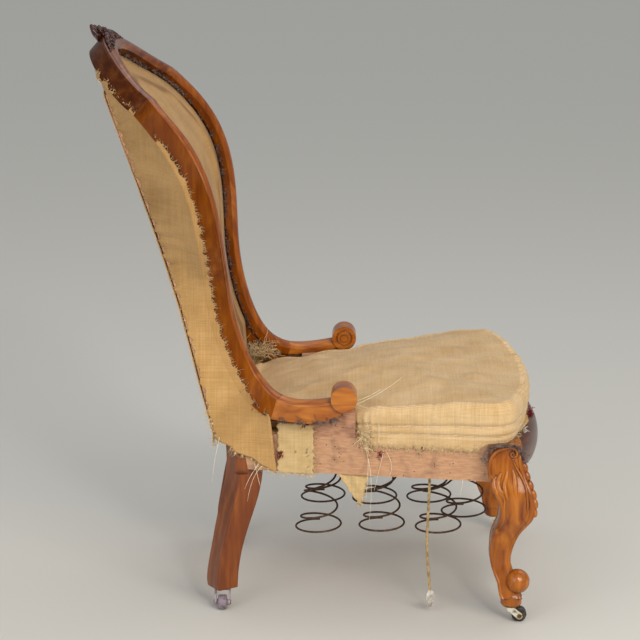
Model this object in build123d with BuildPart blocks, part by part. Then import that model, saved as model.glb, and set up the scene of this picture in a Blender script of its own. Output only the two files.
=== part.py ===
"""Spoon-back nursing chair, stripped to its hessian, on four swivelling casters.

Millimetres. X runs across the chair with the sitter's left at +X, Y runs from the front (-Y) to the
back (+Y), Z is up and the wheels stand on Z = 0. The origin is on the floor below the chair's middle.
"""

import os
from math import asin, cos, degrees, pi, radians, sin, sqrt, tan

from build123d import *

os.makedirs("parts", exist_ok=True)

# Back frame: crown line of the moulded face on the sitter's left, from the crest down to the arm.
# Each station holds half width, distance back, height and lean of the moulded face from upright.
BACK_LINE = [
    (0, 352, 980, 49),
    (86, 339, 967, 49),
    (147, 313, 941, 47),
    (196, 267, 904, 43),
    (227, 223, 856, 35),
    (246, 178, 780, 20),
    (246, 160, 715, 9),
    (225, 153, 664, 4),
    (190, 149, 615, 3),
    (170, 144, 562, 8),
    (163, 133, 508, 14),
    (158, 113, 452, 25),
    (170, 84, 408, 50),
    (188, 56, 390, 78),
    (201, 16, 386, 90),
    (207, -24, 391, 97),
    (209, -46, 395, 100),
]
CREST_END = 3  # station where the crest rail meets the stile
WAIST = 11  # narrowest station, where the back hessian ends
STILE_END = 13  # station where the stile meets the arm
FRAME_WIDTH = 42
FRAME_DEPTH = 42
ARM_DEPTHS = [42, 37, 34, 24]  # height of the arm at its stations, joint to scroll
EDGE_BEAD_WIDTH = 6.5
EDGE_BEAD_DROP = 9
ROLL_DROP = 9.5
REBATE_DEPTH = 22
REBATE_STEP = 5
SCROLL_RADIUS = 22.5
SCROLL_WIDTH = 44
SCROLL_X = 212
SCROLL_Y = -49
SCROLL_Z = 394
SCROLL_BUTTON_RADIUS = 6.5
SCROLL_BUTTON_RISE = 1.6
SCROLL_GROOVE_RADIUS = 14
SCROLL_GROOVE_SIZE = 1.5

# Carved cresting on top of the crest rail
CREST_LEAF_LENGTH = 36
CREST_LEAF_RADIUS = 8.5
CREST_FAN_TURNS = [-80, -40, 0, 40, 80]  # degrees of the leaves of the fan
CREST_FAN_ROOT = 5
CREST_BUD_RADIUS = 9.5
CREST_SCROLL_RADIUS = 10.5
CREST_SCROLL_OFFSETS = [-51, -35, -19, 19, 35, 51]
CREST_SCROLL_FALL = 12  # the scrolled leaves sink by one part in this many of their spacing
CREST_THICKNESS = 20
CREST_SINK = 12
CREST_SET = 13  # middle of the leaves behind the crown line

# Seat frame
RAIL_BOTTOM = 252
RAIL_HEIGHT = 66
RAIL_THICKNESS = 30
SEAT_FRONT_HALF = 245  # outer half width of the seat frame at the front legs
SEAT_FRONT_Y = -319
SEAT_REAR_HALF = 175  # and at the rear legs
SEAT_REAR_Y = 124
FRONT_RAIL_RADIUS = 415
FRONT_RAIL_REACH = -399  # foremost point of the bowed front rail
FRONT_RAIL_DEPTH = 38
FRONT_RAIL_END_SET = 18.3  # its ends from the middles of the front legs
FRONT_RAIL_TOP_SET = 13
FRONT_RAIL_FOOT_SET = 4
BACK_RAIL_Y = 132
BLOCK_FOOT = 6  # corner blocks above the bottom of the rails
BLOCK_HEIGHT = 42
FRONT_BLOCK_SIDE_Y = -235
FRONT_BLOCK_X = SEAT_FRONT_HALF - 95
REAR_BLOCK_SIDE_Y = 62
REAR_BLOCK_X = SEAT_REAR_HALF - 75
ARM_BLOCK_REAR = 30
ARM_BLOCK_FRONT = -69
ARM_BLOCK_THICKNESS = 18
ARM_BLOCK_RISE = 50

# Hidden posts and rails of the back
POST_WIDTH = 32
POST_DEPTH = 38
POST_FOOT_SET = 15  # middle of a post from the outer half width of the seat frame
# half spacing, distance back and height of the back posts, foot to crest
POST_LINE = [
    (SEAT_REAR_HALF - POST_FOOT_SET, 156, 318),
    (SEAT_REAR_HALF - POST_FOOT_SET, 176, 394),
    (157, 207, 520),
    (151, 262, 699),
    (142.7, 335, 906),
]
STAY_RAIL_BOTTOM = 350
STAY_RAIL_HEIGHT = 44
STAY_RAIL_THICKNESS = 24
BRACE_BOTTOM = 455
BRACE_HEIGHT = 30
BRACE_WIDTH = 16

# Casters
WHEEL_RADIUS = 13
WHEEL_WIDTH = 15
WHEEL_ROUND = 2.5
HUB_RADIUS = 5
HUB_LENGTH = 20
AXLE_RADIUS = 2.5
AXLE_CLEARANCE = 0.06
AXLE_HEAD = 1.2
AXLE_HEAD_RADIUS = 4
FORK_GAP = 20.6
FORK_ARM = 3.6
FORK_CROWN = 4
FORK_BACK = 8
FORK_FRONT = 4
FORK_EYE_RADIUS = 5.6
SWIVEL_CLEARANCE = 0.3
TRAIL_MARGIN = 1  # swivel axis behind the wheel's rim
PINTLE_RADIUS = 3
PINTLE_CLEARANCE = 0.06
PINTLE_HEAD_RADIUS = 4.5
PINTLE_HEAD = 2.5
PINTLE_HEAD_ROOM = 0.7
PLATE_RADIUS = 15
PLATE_THICKNESS = 2.5
FRONT_HEADROOM = 5  # leg bottom above the top of the wheel
REAR_HEADROOM = 12
SCREW_RADIUS = 1.5
SCREW_LENGTH = 14
SCREW_HEAD_RADIUS = 3
SCREW_HEAD = 1.5
SCREW_CIRCLE = 10
SCREWS_PER_PLATE = 3

# Front legs: height, distance back and half thickness at each station, foot to knee
FRONT_LEG_LINE = [
    (46, -340, 18.5),
    (62, -335, 18),
    (85, -327, 17.5),
    (112, -320, 18),
    (135, -322, 20),
    (157, -327, 23),
    (175, -335.5, 25.5),
    (194, -344, 29),
    (220, -345, 31),
    (243, -338, 34),
    (262, -331, 33),
    (281, -327, 31.5),
    (300, -325, 30),
]
FRONT_LEG_SET = 13  # middle of the leg from the outer half width of the seat frame
FRONT_LEG_TOP_X = SEAT_FRONT_HALF - FRONT_LEG_SET
FRONT_LEG_TOP_Y = -324
FRONT_LEG_TOP_HALF = 29
FRONT_LEG_STUB = 2  # leg top above the rails
LEG_SPLAY = 0.75  # sideways share of the leg's forward sweep
LEG_BEAD_SHARE = 0.2  # corner bead radius over the half thickness
COLLAR_RADIUS = 18.5
COLLAR_TOP = 48
COLLAR_ROUND = 2.5
TOE_X = FRONT_LEG_TOP_X + 16
TOE_Y = -350
TOE_Z = 74
TOE_RADIUS = 21.5

# Rear legs: height, half spacing, distance back and side of the square section
REAR_LEG_LINE = [
    (97, 177, 158.5, 41),
    (136, 172, 150, 43),
    (170, 166, 141, 46),
    (208, 159, 131, 48),
    (250, 152, 125, 48),
]
REAR_FOOT_X = 180
REAR_FOOT_Y = 164
REAR_FOOT_SIDE = 40
REAR_TOP_X = 148
REAR_TOP_Y = 128
REAR_TOP_SIDE = 44
REAR_LEG_TURN = 33  # degrees from square to the chair
REAR_LEG_CORNER = 2.5
REAR_LEG_TRIM = -8  # the leg is flush with the rail from this height against the rail's bottom

# Joinery and fasteners
DOWEL_RADIUS = 5
DOWEL_LENGTH = 44
FIT_CLEARANCE = 0.1
FRAME_DOWEL_SPOTS = [(5, -14), (5, -31)]
RAIL_DOWEL_HEIGHTS = [18, 48]
BLOCK_SCREW_RADIUS = 2
BLOCK_SCREW_LENGTH = 48
BLOCK_SCREW_HEAD_RADIUS = 4.5
BLOCK_SCREW_HEAD = 2.5
TACK_HEAD_RADIUS = 3
TACK_HEAD = 1
TACK_SHANK_RADIUS = 0.8
TACK_LENGTH = 10
TACK_LIFT = 1.4  # room for the hessian below the head
TACK_PITCH = 21
TACKS_PER_SIDE = 9
TACK_FIRST_Y = -98
TACK_DROP = 9

# Upholstery
CLOTH = 2
SEAT_GAP = 0.3  # soft pieces stand this far from what carries them
CANVAS_MARGIN = 20
CANVAS_REAR_Y = 128
CANVAS_FRONT_SET = 26
CANVAS_LEG_GAP = 5
SPRING_WIRE = 3.6
SPRING_END_RADIUS = 45
SPRING_WAIST_RADIUS = 27
SPRING_FOOT = 115
SPRING_TURNS = 5.5
SPRING_END_CLOSING = 0.8
GAP_SAMPLES = 220  # points along a spring at which its curls are compared
SPRING_PLACES = [(-80, -10), (80, -10), (-80, -114), (80, -114), (-80, -216), (80, -216), (0, -278)]
SPRING_LEANS = [(-5, 4), (6, -3), (3, -6), (-4, 5), (-6, -5), (5, 6), (2, 7)]
PAD_REAR_HALF = SEAT_REAR_HALF - 33
PAD_REAR_Y = 112
PAD_ARM_GAP = 8.6  # foot of the pad from the arm blocks
PAD_ARM_Y = -76
PAD_FLARE_SET = 1.3  # foot of the pad behind the outer face of the side rail
PAD_FLARE_Y = -106
PAD_SIDE_HALF = SEAT_FRONT_HALF + 3
PAD_SIDE_Y = -285
PAD_CORNER_HALF = SEAT_FRONT_HALF - 23
PAD_CORNER_Y = -332
PAD_FRONT_Y = -376
# height above the canvas, growth of the outline and tilt of the seat pad at each layer
PAD_LAYERS = [
    (0, 0, 0),
    (7, 4, 0.2),
    (14, 5, 0.5),
    (21, 3, 1),
    (28, 2, 1.5),
    (35, 6, 2.3),
    (42, 6, 3.2),
    (49, 0, 4),
    (54, -10, 4.3),
    (60, -30, 4.5),
    (66, -75, 4.5),
]
PAD_PIVOT_Y = -130  # the layers tilt about this line
PATCH_REAR = 66
PATCH_FRONT = 4
PATCH_TOP = 338
PATCH_FOOT = 251
HESSIAN_TUCK = 14  # side hessian lies this far over the outer face of the stile
HESSIAN_FIRST = 2  # stations between which the side hessian is fixed to the frame
HESSIAN_LAST = 13
# heights at which the side hessian reaches the rear corner of the post, one for each station
HESSIAN_HEIGHTS = [900, 858, 805, 742, 690, 640, 580, 520, 460, 400, 325]
HESSIAN_FRONT_Y = 68
HESSIAN_FOOT_Z = 250
BACK_SHEET_FOOT = 300
BACK_SHEET_TOP = 945
BACK_SHEET_ARCH = 26
BACK_SHEET_SHOULDER = 908
INNER_SHEET_SET = 26  # inside back hessian behind the crown of the frame
INNER_SHEET_EDGE = -13  # its edge from the crown line, outwards
INNER_TOP_HALF = 32
INNER_TOP_DROP = 2
INNER_FOOT_HALF = 138
INNER_FOOT_Y = 128
INNER_FOOT_Z = 352
FLAP_REAR = -37
FLAP_FRONT = -92
FLAP_TIP_Y = -75
FLAP_DROP = 52
FLAP_X = -198

# Hanging cord
CORD_RADIUS = 2.6
CORD_POINTS = [
    (-205, -198, 251.7),
    (-204.6, -197.4, 214),
    (-205, -195.4, 170),
    (-206, -194.2, 126),
    (-205.4, -196.6, 82),
    (-204, -201, 40.5),
]
ARC_SHARE = 0.45  # share of the shorter run that an arc of the cord takes up
TUFT_RADIUS = 9
TUFT_HEIGHT = 32

RAIL_TOP = RAIL_BOTTOM + RAIL_HEIGHT
CANVAS_TOP = RAIL_TOP + CLOTH
FRONT_FOOT = 2 * WHEEL_RADIUS + FRONT_HEADROOM
REAR_FOOT = 2 * WHEEL_RADIUS + REAR_HEADROOM
HALF_FRAME = FRAME_WIDTH / 2
PIECES = {}


def keep(name, piece):
    """Labels a finished piece and lists it for writing."""
    piece.part.label = name
    PIECES[name] = piece.part
    return piece


def keep_pair(name, left):
    """Keeps a left piece and its mirror image on the right."""
    keep(f"{name}_left", left)
    with BuildPart() as right:
        mirror(left.part, about=Plane.YZ)
    return keep(f"{name}_right", right)


def spots_on(plane, spots):
    """Returns parallel planes at local points of a plane."""
    return [Plane(plane.from_local_coords(Vector(*s)), x_dir=plane.x_dir, z_dir=plane.z_dir) for s in spots]


def both_sides(planes):
    """Returns the planes with their mirror images across the chair's middle."""
    flip = Vector(-1, 1, 1)
    images = []
    for p in planes:
        origin = Vector(p.origin.X * flip.X, p.origin.Y, p.origin.Z)
        images.append(Plane(origin, z_dir=Vector(p.z_dir.X * flip.X, p.z_dir.Y, p.z_dir.Z)))
    return planes + images


def rail_half(y):
    """Outer half width of the seat frame at a distance back."""
    share = (y - SEAT_FRONT_Y) / (SEAT_REAR_Y - SEAT_FRONT_Y)
    return SEAT_FRONT_HALF + share * (SEAT_REAR_HALF - SEAT_FRONT_HALF)


# Crown line of the back, from the right arm over the crest to the left arm
crown = [Vector(half, back, height) for half, back, height, lean in BACK_LINE]
with BuildLine() as back_line:
    Spline(*[Vector(-p.X, p.Y, p.Z) for p in reversed(crown[1:])], *crown)
back_curve = back_line.edge()


def back_plane(index, side=1):
    """Section plane of the back frame: x outwards from the oval, y towards the moulded face."""
    half, back, height, lean = BACK_LINE[index]
    place = Vector(side * half, back, height)
    run = back_curve.tangent_at(place)
    front = Vector(0, -cos(radians(lean)), sin(radians(lean)))
    return Plane(origin=place, x_dir=front.cross(run), z_dir=run)


def back_section(plane, depth):
    """Moulded section: flat outer side, edge bead, broad roll and a rebate behind the inner edge."""
    bead_foot = (HALF_FRAME - EDGE_BEAD_WIDTH, -0.72 * EDGE_BEAD_DROP)
    bead_top = (HALF_FRAME - 0.37 * EDGE_BEAD_WIDTH, -0.45 * EDGE_BEAD_DROP)
    inner = REBATE_STEP - HALF_FRAME
    step = REBATE_DEPTH * depth / FRAME_DEPTH
    with BuildSketch(plane) as section:
        with BuildLine():
            Line((HALF_FRAME, -depth), (HALF_FRAME, -EDGE_BEAD_DROP))
            ThreePointArc((HALF_FRAME, -EDGE_BEAD_DROP), bead_top, bead_foot)
            ThreePointArc(bead_foot, (0, 0), (inner, -ROLL_DROP))
            Polyline(
                (inner, -ROLL_DROP),
                (inner, -step),
                (inner + REBATE_STEP, -step),
                (inner + REBATE_STEP, -depth),
                (HALF_FRAME, -depth),
            )
        make_face()
    return section.sketch


left_planes = [back_plane(i) for i in range(len(BACK_LINE))]
right_planes = [back_plane(i, -1) for i in range(len(BACK_LINE))]
crest_dowels = spots_on(left_planes[CREST_END], FRAME_DOWEL_SPOTS)
arm_dowels = spots_on(left_planes[STILE_END], FRAME_DOWEL_SPOTS)
crest_sections = [back_section(right_planes[i], FRAME_DEPTH) for i in range(CREST_END, 0, -1)]
crest_sections += [back_section(left_planes[i], FRAME_DEPTH) for i in range(CREST_END + 1)]
stile_sections = [back_section(left_planes[i], FRAME_DEPTH) for i in range(CREST_END, STILE_END + 1)]
arm_sections = [back_section(left_planes[STILE_END + i], depth) for i, depth in enumerate(ARM_DEPTHS)]
hole_radius = DOWEL_RADIUS + FIT_CLEARANCE
hole_length = DOWEL_LENGTH + 2 * FIT_CLEARANCE

with BuildPart() as crest_rail:
    loft(sections=crest_sections)
    with Locations(*both_sides(crest_dowels)):
        Cylinder(hole_radius, hole_length, mode=Mode.SUBTRACT)
keep("crest_rail", crest_rail)

with BuildPart() as stile_blank:
    loft(sections=stile_sections)

with BuildPart() as stile:
    add(stile_blank.part)
    with Locations(*crest_dowels, *arm_dowels):
        Cylinder(hole_radius, hole_length, mode=Mode.SUBTRACT)
keep_pair("stile", stile)

# The arm ends in a scroll whose inner face carries a button inside a turned groove
scroll_plane = Plane((SCROLL_X, SCROLL_Y, SCROLL_Z), z_dir=(1, 0, 0))
scroll_face = scroll_plane.offset(-SCROLL_WIDTH / 2)
with BuildPart() as arm:
    loft(sections=arm_sections)
    with Locations(scroll_plane):
        Cylinder(SCROLL_RADIUS, SCROLL_WIDTH)
    with Locations(scroll_face):
        Cylinder(SCROLL_BUTTON_RADIUS, 2 * SCROLL_BUTTON_RISE)
        Torus(SCROLL_GROOVE_RADIUS, SCROLL_GROOVE_SIZE, mode=Mode.SUBTRACT)
    with Locations(*arm_dowels):
        Cylinder(hole_radius, hole_length, mode=Mode.SUBTRACT)
keep_pair("arm", arm)

# Cresting: a fan of leaves round a bud, with scrolled leaves to each side
crest_top = left_planes[0]
crest_root = crest_top.from_local_coords((HALF_FRAME - CREST_SINK, -CREST_SET))
crest_face = Plane(crest_root, x_dir=crest_top.z_dir, z_dir=crest_top.y_dir)
leaf_middle = CREST_FAN_ROOT + CREST_LEAF_LENGTH / 2
with BuildPart() as cresting:
    with BuildSketch(crest_face.offset(-CREST_THICKNESS / 2)):
        for turn in CREST_FAN_TURNS:
            with Locations(Location((0, 0, 0), (0, 0, turn)) * Location((0, leaf_middle, 0))):
                Ellipse(CREST_LEAF_RADIUS, CREST_LEAF_LENGTH / 2)
        with Locations((0, CREST_SINK + CREST_BUD_RADIUS / 2)):
            Circle(CREST_BUD_RADIUS)
        with Locations(*[(x, CREST_SINK - abs(x) / CREST_SCROLL_FALL) for x in CREST_SCROLL_OFFSETS]):
            Circle(CREST_SCROLL_RADIUS)
    extrude(amount=CREST_THICKNESS)
    add(crest_rail.part, mode=Mode.SUBTRACT)
    add(cresting.solids().sort_by(SortBy.VOLUME)[-1:], mode=Mode.REPLACE)
keep("cresting", cresting)


def front_leg_section(height, back, half):
    """Square section with a bead run on each corner and slightly hollowed joins to the faces."""
    across = FRONT_LEG_TOP_X + LEG_SPLAY * (FRONT_LEG_TOP_Y - back)
    bead = LEG_BEAD_SHARE * half
    centre = half - bead
    near = centre - bead * sqrt(0.5)
    far = centre + bead * sqrt(0.5)
    with BuildSketch(Plane((across, back, height))) as section:
        with BuildLine():
            for turn in (0, 90, 180, 270):
                spots = [(far, -near), (half, 0), (far, near), (far, far), (near, far)]
                spots = [Vector(x, y).rotate(Axis.Z, turn) for x, y in spots]
                ThreePointArc(*spots[:3])
                ThreePointArc(*spots[2:])
        make_face()
    return section.sketch



# Front legs: cabriole, on a turned collar, with a ball toe
front_leg_sections = [front_leg_section(*station) for station in FRONT_LEG_LINE]
front_leg_sections.append(front_leg_section(RAIL_TOP + FRONT_LEG_STUB, FRONT_LEG_TOP_Y, FRONT_LEG_TOP_HALF))
collar_x = FRONT_LEG_TOP_X + LEG_SPLAY * (FRONT_LEG_TOP_Y - FRONT_LEG_LINE[0][1])
collar_y = FRONT_LEG_LINE[0][1]


def caster_frame(x, y, heading):
    """Plane on the floor below a caster's pintle with x towards its wheel."""
    return Plane((x, y, 0), x_dir=(cos(radians(heading)), sin(radians(heading)), 0), z_dir=(0, 0, 1))


FRONT_HEADING = -90  # the front casters trail forwards
REAR_HEADING = 0  # and the rear ones outwards
front_caster = caster_frame(collar_x, collar_y, FRONT_HEADING)
rear_caster = caster_frame(REAR_FOOT_X, REAR_FOOT_Y, REAR_HEADING)
screw_turns = [90 + 360 * i / SCREWS_PER_PLATE for i in range(SCREWS_PER_PLATE)]
screw_spots = [(SCREW_CIRCLE * cos(radians(t)), SCREW_CIRCLE * sin(radians(t))) for t in screw_turns]


def drill_positions(frame, foot):
    """Planes of the pintle hole and of the screw holes on a leg's end."""
    pintle = spots_on(frame, [(0, 0, foot)])
    screws = spots_on(frame, [(x, y, foot - PLATE_THICKNESS) for x, y in screw_spots])
    return pintle, screws


front_pintle, front_screws = drill_positions(front_caster, FRONT_FOOT)
rear_pintle, rear_screws = drill_positions(rear_caster, REAR_FOOT)
pintle_room = SWIVEL_CLEARANCE + PINTLE_HEAD + PINTLE_HEAD_ROOM
up = (Align.CENTER, Align.CENTER, Align.MIN)
down = (Align.CENTER, Align.CENTER, Align.MAX)
screw_hole = SCREW_RADIUS + FIT_CLEARANCE
block_hole = BLOCK_SCREW_RADIUS + FIT_CLEARANCE

# Rails meet the legs on dowels that run along the rails
side_run = Vector(SEAT_FRONT_HALF - SEAT_REAR_HALF, SEAT_FRONT_Y - SEAT_REAR_Y).normalized()
side_out = Vector(-side_run.Y, side_run.X)
rail_middle = RAIL_THICKNESS / 2
front_end_y = FRONT_LEG_TOP_Y + FRONT_LEG_TOP_HALF
rear_end_y = REAR_TOP_Y - REAR_TOP_SIDE * 0.6
side_dowels = []
for end_y in (front_end_y, rear_end_y):
    for height in RAIL_DOWEL_HEIGHTS:
        spot = Vector(rail_half(end_y), end_y, RAIL_BOTTOM + height) - side_out * rail_middle
        side_dowels.append(Plane(spot, z_dir=side_run))
back_dowels = []
for height in RAIL_DOWEL_HEIGHTS:
    spot = Vector(REAR_TOP_X - REAR_TOP_SIDE * 0.6, BACK_RAIL_Y, RAIL_BOTTOM + height)
    back_dowels.append(Plane(spot, z_dir=(1, 0, 0)))
front_axis_y = FRONT_RAIL_REACH + FRONT_RAIL_RADIUS
front_mid_radius = FRONT_RAIL_RADIUS - FRONT_RAIL_DEPTH / 2
front_end_x = FRONT_LEG_TOP_X - FRONT_LEG_TOP_HALF
front_dowel_y = front_axis_y - sqrt(front_mid_radius**2 - front_end_x**2)
front_dowels = []
for height in RAIL_DOWEL_HEIGHTS:
    spot = Vector(front_end_x, front_dowel_y, RAIL_BOTTOM + height)
    front_dowels.append(Plane(spot, z_dir=(1, 0, 0)))


def block_screw(corner, along_side, along_rail):
    """Plane of the screw that runs through a corner block into the leg, on the block's open face."""
    middle = (Vector(*along_side) + Vector(*along_rail)) * 0.5
    height = RAIL_BOTTOM + BLOCK_FOOT + BLOCK_HEIGHT / 2
    start = Vector(middle.X, middle.Y, height)
    across = Vector(*along_rail) - Vector(*along_side)
    inward = Vector(across.Y, -across.X)
    if inward.dot(Vector(*corner) - middle) < 0:
        inward = -inward
    return Plane(start, z_dir=inward.normalized())


front_block = [
    (FRONT_LEG_TOP_X - 4, FRONT_LEG_TOP_Y + 4),
    (rail_half(FRONT_BLOCK_SIDE_Y) - rail_middle, FRONT_BLOCK_SIDE_Y),
    (FRONT_BLOCK_X, front_axis_y - sqrt(front_mid_radius**2 - FRONT_BLOCK_X**2)),
]
rear_block = [
    (REAR_TOP_X - 2, REAR_TOP_Y),
    (rail_half(REAR_BLOCK_SIDE_Y) - rail_middle, REAR_BLOCK_SIDE_Y),
    (REAR_BLOCK_X, BACK_RAIL_Y),
]
front_block_screw = block_screw(*front_block)
rear_block_screw = block_screw(*rear_block)

with BuildPart() as front_leg_blank:
    loft(sections=front_leg_sections)
    with Locations((collar_x, collar_y, FRONT_FOOT)):
        Cylinder(COLLAR_RADIUS, COLLAR_TOP - FRONT_FOOT, align=up)
    fillet(front_leg_blank.edges().filter_by(GeomType.CIRCLE).sort_by(Axis.Z)[:1], COLLAR_ROUND)
    with Locations((TOE_X, TOE_Y, TOE_Z)):
        Sphere(TOE_RADIUS)

with BuildPart() as front_leg:
    add(front_leg_blank.part)
    with Locations(*front_pintle):
        Cylinder(PINTLE_HEAD_RADIUS + PINTLE_HEAD_ROOM, pintle_room, align=up, mode=Mode.SUBTRACT)
    with Locations(*front_screws):
        Cylinder(screw_hole, SCREW_LENGTH, align=up, mode=Mode.SUBTRACT)
    with Locations(*side_dowels, *front_dowels):
        Cylinder(hole_radius, hole_length, mode=Mode.SUBTRACT)
    with Locations(front_block_screw):
        Cylinder(block_hole, BLOCK_SCREW_LENGTH, align=up, mode=Mode.SUBTRACT)
keep_pair("front_leg", front_leg)


def rear_leg_section(height, across, back, side):
    """Square section turned to face outwards and forwards, with eased corners."""
    with BuildSketch(Plane((across, back, height)).rotated((0, 0, -REAR_LEG_TURN))) as section:
        RectangleRounded(side, side, REAR_LEG_CORNER)
    return section.sketch


rear_leg_sections = [rear_leg_section(REAR_FOOT, REAR_FOOT_X, REAR_FOOT_Y, REAR_FOOT_SIDE)]
rear_leg_sections += [rear_leg_section(*station) for station in REAR_LEG_LINE]
rear_leg_sections.append(rear_leg_section(RAIL_TOP, REAR_TOP_X, REAR_TOP_Y, REAR_TOP_SIDE))
trim_ends = [Vector(SEAT_FRONT_HALF, SEAT_FRONT_Y), Vector(SEAT_REAR_HALF, SEAT_REAR_Y) - side_run * POST_DEPTH * 2]
trim_width = side_out * REAR_TOP_SIDE

with BuildPart() as rear_leg_blank:
    loft(sections=rear_leg_sections)
    with BuildSketch(Plane.XY.offset(RAIL_BOTTOM + REAR_LEG_TRIM)):
        with BuildLine():
            Polyline(*trim_ends, trim_ends[1] + trim_width, trim_ends[0] + trim_width, close=True)
        make_face()
    extrude(amount=2 * RAIL_HEIGHT, mode=Mode.SUBTRACT)

with BuildPart() as rear_leg:
    add(rear_leg_blank.part)
    with Locations(*rear_pintle):
        Cylinder(PINTLE_HEAD_RADIUS + PINTLE_HEAD_ROOM, pintle_room, align=up, mode=Mode.SUBTRACT)
    with Locations(*rear_screws):
        Cylinder(screw_hole, SCREW_LENGTH, align=up, mode=Mode.SUBTRACT)
    with Locations(*side_dowels, *back_dowels):
        Cylinder(hole_radius, hole_length, mode=Mode.SUBTRACT)
    with Locations(rear_block_screw):
        Cylinder(block_hole, BLOCK_SCREW_LENGTH, align=up, mode=Mode.SUBTRACT)
keep_pair("rear_leg", rear_leg)

# Tacks along the outer faces of the side rails hold the lower edge of the seat's hessian
tack_planes = []
for i in range(TACKS_PER_SIDE):
    y = TACK_FIRST_Y - i * TACK_PITCH
    tack_planes.append(Plane(Vector(rail_half(y), y, RAIL_TOP - TACK_DROP), z_dir=side_out))

# Seat rails
rail_ends = [Vector(SEAT_FRONT_HALF, SEAT_FRONT_Y), Vector(SEAT_REAR_HALF, SEAT_REAR_Y)]
rail_inset = side_out * RAIL_THICKNESS
with BuildPart() as side_rail:
    with BuildSketch(Plane.XY.offset(RAIL_BOTTOM)):
        with BuildLine():
            Polyline(*rail_ends, rail_ends[1] - rail_inset, rail_ends[0] - rail_inset, close=True)
        make_face()
    extrude(amount=RAIL_HEIGHT)
    add(front_leg_blank.part, mode=Mode.SUBTRACT)
    add(rear_leg_blank.part, mode=Mode.SUBTRACT)
    add(side_rail.solids().sort_by(SortBy.VOLUME)[-1:], mode=Mode.REPLACE)
    with Locations(*side_dowels, *front_dowels):
        Cylinder(hole_radius, hole_length, mode=Mode.SUBTRACT)
    with Locations(*tack_planes):
        Cylinder(TACK_SHANK_RADIUS + FIT_CLEARANCE, 2 * TACK_LENGTH, mode=Mode.SUBTRACT)
keep_pair("side_rail", side_rail)

front_rail_face = [
    (FRONT_RAIL_REACH + FRONT_RAIL_FOOT_SET, RAIL_BOTTOM),
    (FRONT_RAIL_REACH, RAIL_BOTTOM + RAIL_HEIGHT / 2),
    (FRONT_RAIL_REACH + FRONT_RAIL_TOP_SET, RAIL_TOP),
]
front_rail_back = FRONT_RAIL_REACH + FRONT_RAIL_DEPTH
front_rail_swing = degrees(asin((FRONT_LEG_TOP_X - FRONT_RAIL_END_SET) / FRONT_RAIL_RADIUS))
with BuildPart() as front_rail:
    with BuildSketch(Plane.YZ):
        with BuildLine():
            ThreePointArc(*front_rail_face)
            Polyline(front_rail_face[2], (front_rail_back, RAIL_TOP), (front_rail_back, RAIL_BOTTOM), front_rail_face[0])
        make_face()
    revolve(axis=Axis((0, front_axis_y, 0), (0, 0, 1)), revolution_arc=front_rail_swing)
    mirror(about=Plane.YZ)
    add(front_leg_blank.part, mode=Mode.SUBTRACT)
    mirror(front_leg_blank.part, about=Plane.YZ, mode=Mode.SUBTRACT)
    with Locations(*both_sides(front_dowels)):
        Cylinder(hole_radius, hole_length, mode=Mode.SUBTRACT)
keep("front_rail", front_rail)

with BuildPart() as back_rail:
    with BuildSketch(Plane.XY.offset(RAIL_BOTTOM)):
        with Locations((0, BACK_RAIL_Y)):
            Rectangle(2 * REAR_TOP_X, RAIL_THICKNESS)
    extrude(amount=RAIL_HEIGHT)
    add(rear_leg_blank.part, mode=Mode.SUBTRACT)
    mirror(rear_leg_blank.part, about=Plane.YZ, mode=Mode.SUBTRACT)
    add(back_rail.solids().sort_by(SortBy.VOLUME)[-1:], mode=Mode.REPLACE)
    with Locations(*both_sides(back_dowels)):
        Cylinder(hole_radius, hole_length, mode=Mode.SUBTRACT)
keep("back_rail", back_rail)

# Blocks that carry the arms on the side rails
with BuildPart() as arm_block:
    with BuildSketch(Plane.XY.offset(RAIL_TOP)):
        with BuildLine():
            Polyline(
                (rail_half(ARM_BLOCK_REAR), ARM_BLOCK_REAR),
                (rail_half(ARM_BLOCK_FRONT), ARM_BLOCK_FRONT),
                (rail_half(ARM_BLOCK_FRONT) - ARM_BLOCK_THICKNESS, ARM_BLOCK_FRONT),
                (rail_half(ARM_BLOCK_REAR) - ARM_BLOCK_THICKNESS, ARM_BLOCK_REAR),
                close=True,
            )
        make_face()
    extrude(amount=ARM_BLOCK_RISE)
    add(arm.part, mode=Mode.SUBTRACT)
    add(stile_blank.part, mode=Mode.SUBTRACT)
keep_pair("arm_block", arm_block)


def post_section(across, back, height):
    """Upright rectangle of a back post."""
    with BuildSketch(Plane((across, back, height))) as section:
        Rectangle(POST_WIDTH, POST_DEPTH)
    return section.sketch


with BuildPart() as back_post:
    loft(sections=[post_section(*station) for station in POST_LINE])
    add(crest_rail.part, mode=Mode.SUBTRACT)
keep_pair("back_post", back_post)


def post_at(height):
    """Half spacing and distance back of the post's middle at a height."""
    for low, high in zip(POST_LINE, POST_LINE[1:]):
        if height <= high[2]:
            break
    share = (height - low[2]) / (high[2] - low[2])
    return Vector(*low) + (Vector(*high) - Vector(*low)) * share


stay = post_at(STAY_RAIL_BOTTOM + STAY_RAIL_HEIGHT / 2)
with BuildPart() as stay_rail:
    with Locations((0, stay.Y, STAY_RAIL_BOTTOM)):
        Box(2 * stay.X, STAY_RAIL_THICKNESS, STAY_RAIL_HEIGHT, align=up)
    add(back_post.part, mode=Mode.SUBTRACT)
    add(PIECES["back_post_right"], mode=Mode.SUBTRACT)
keep("stay_rail", stay_rail)

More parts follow.
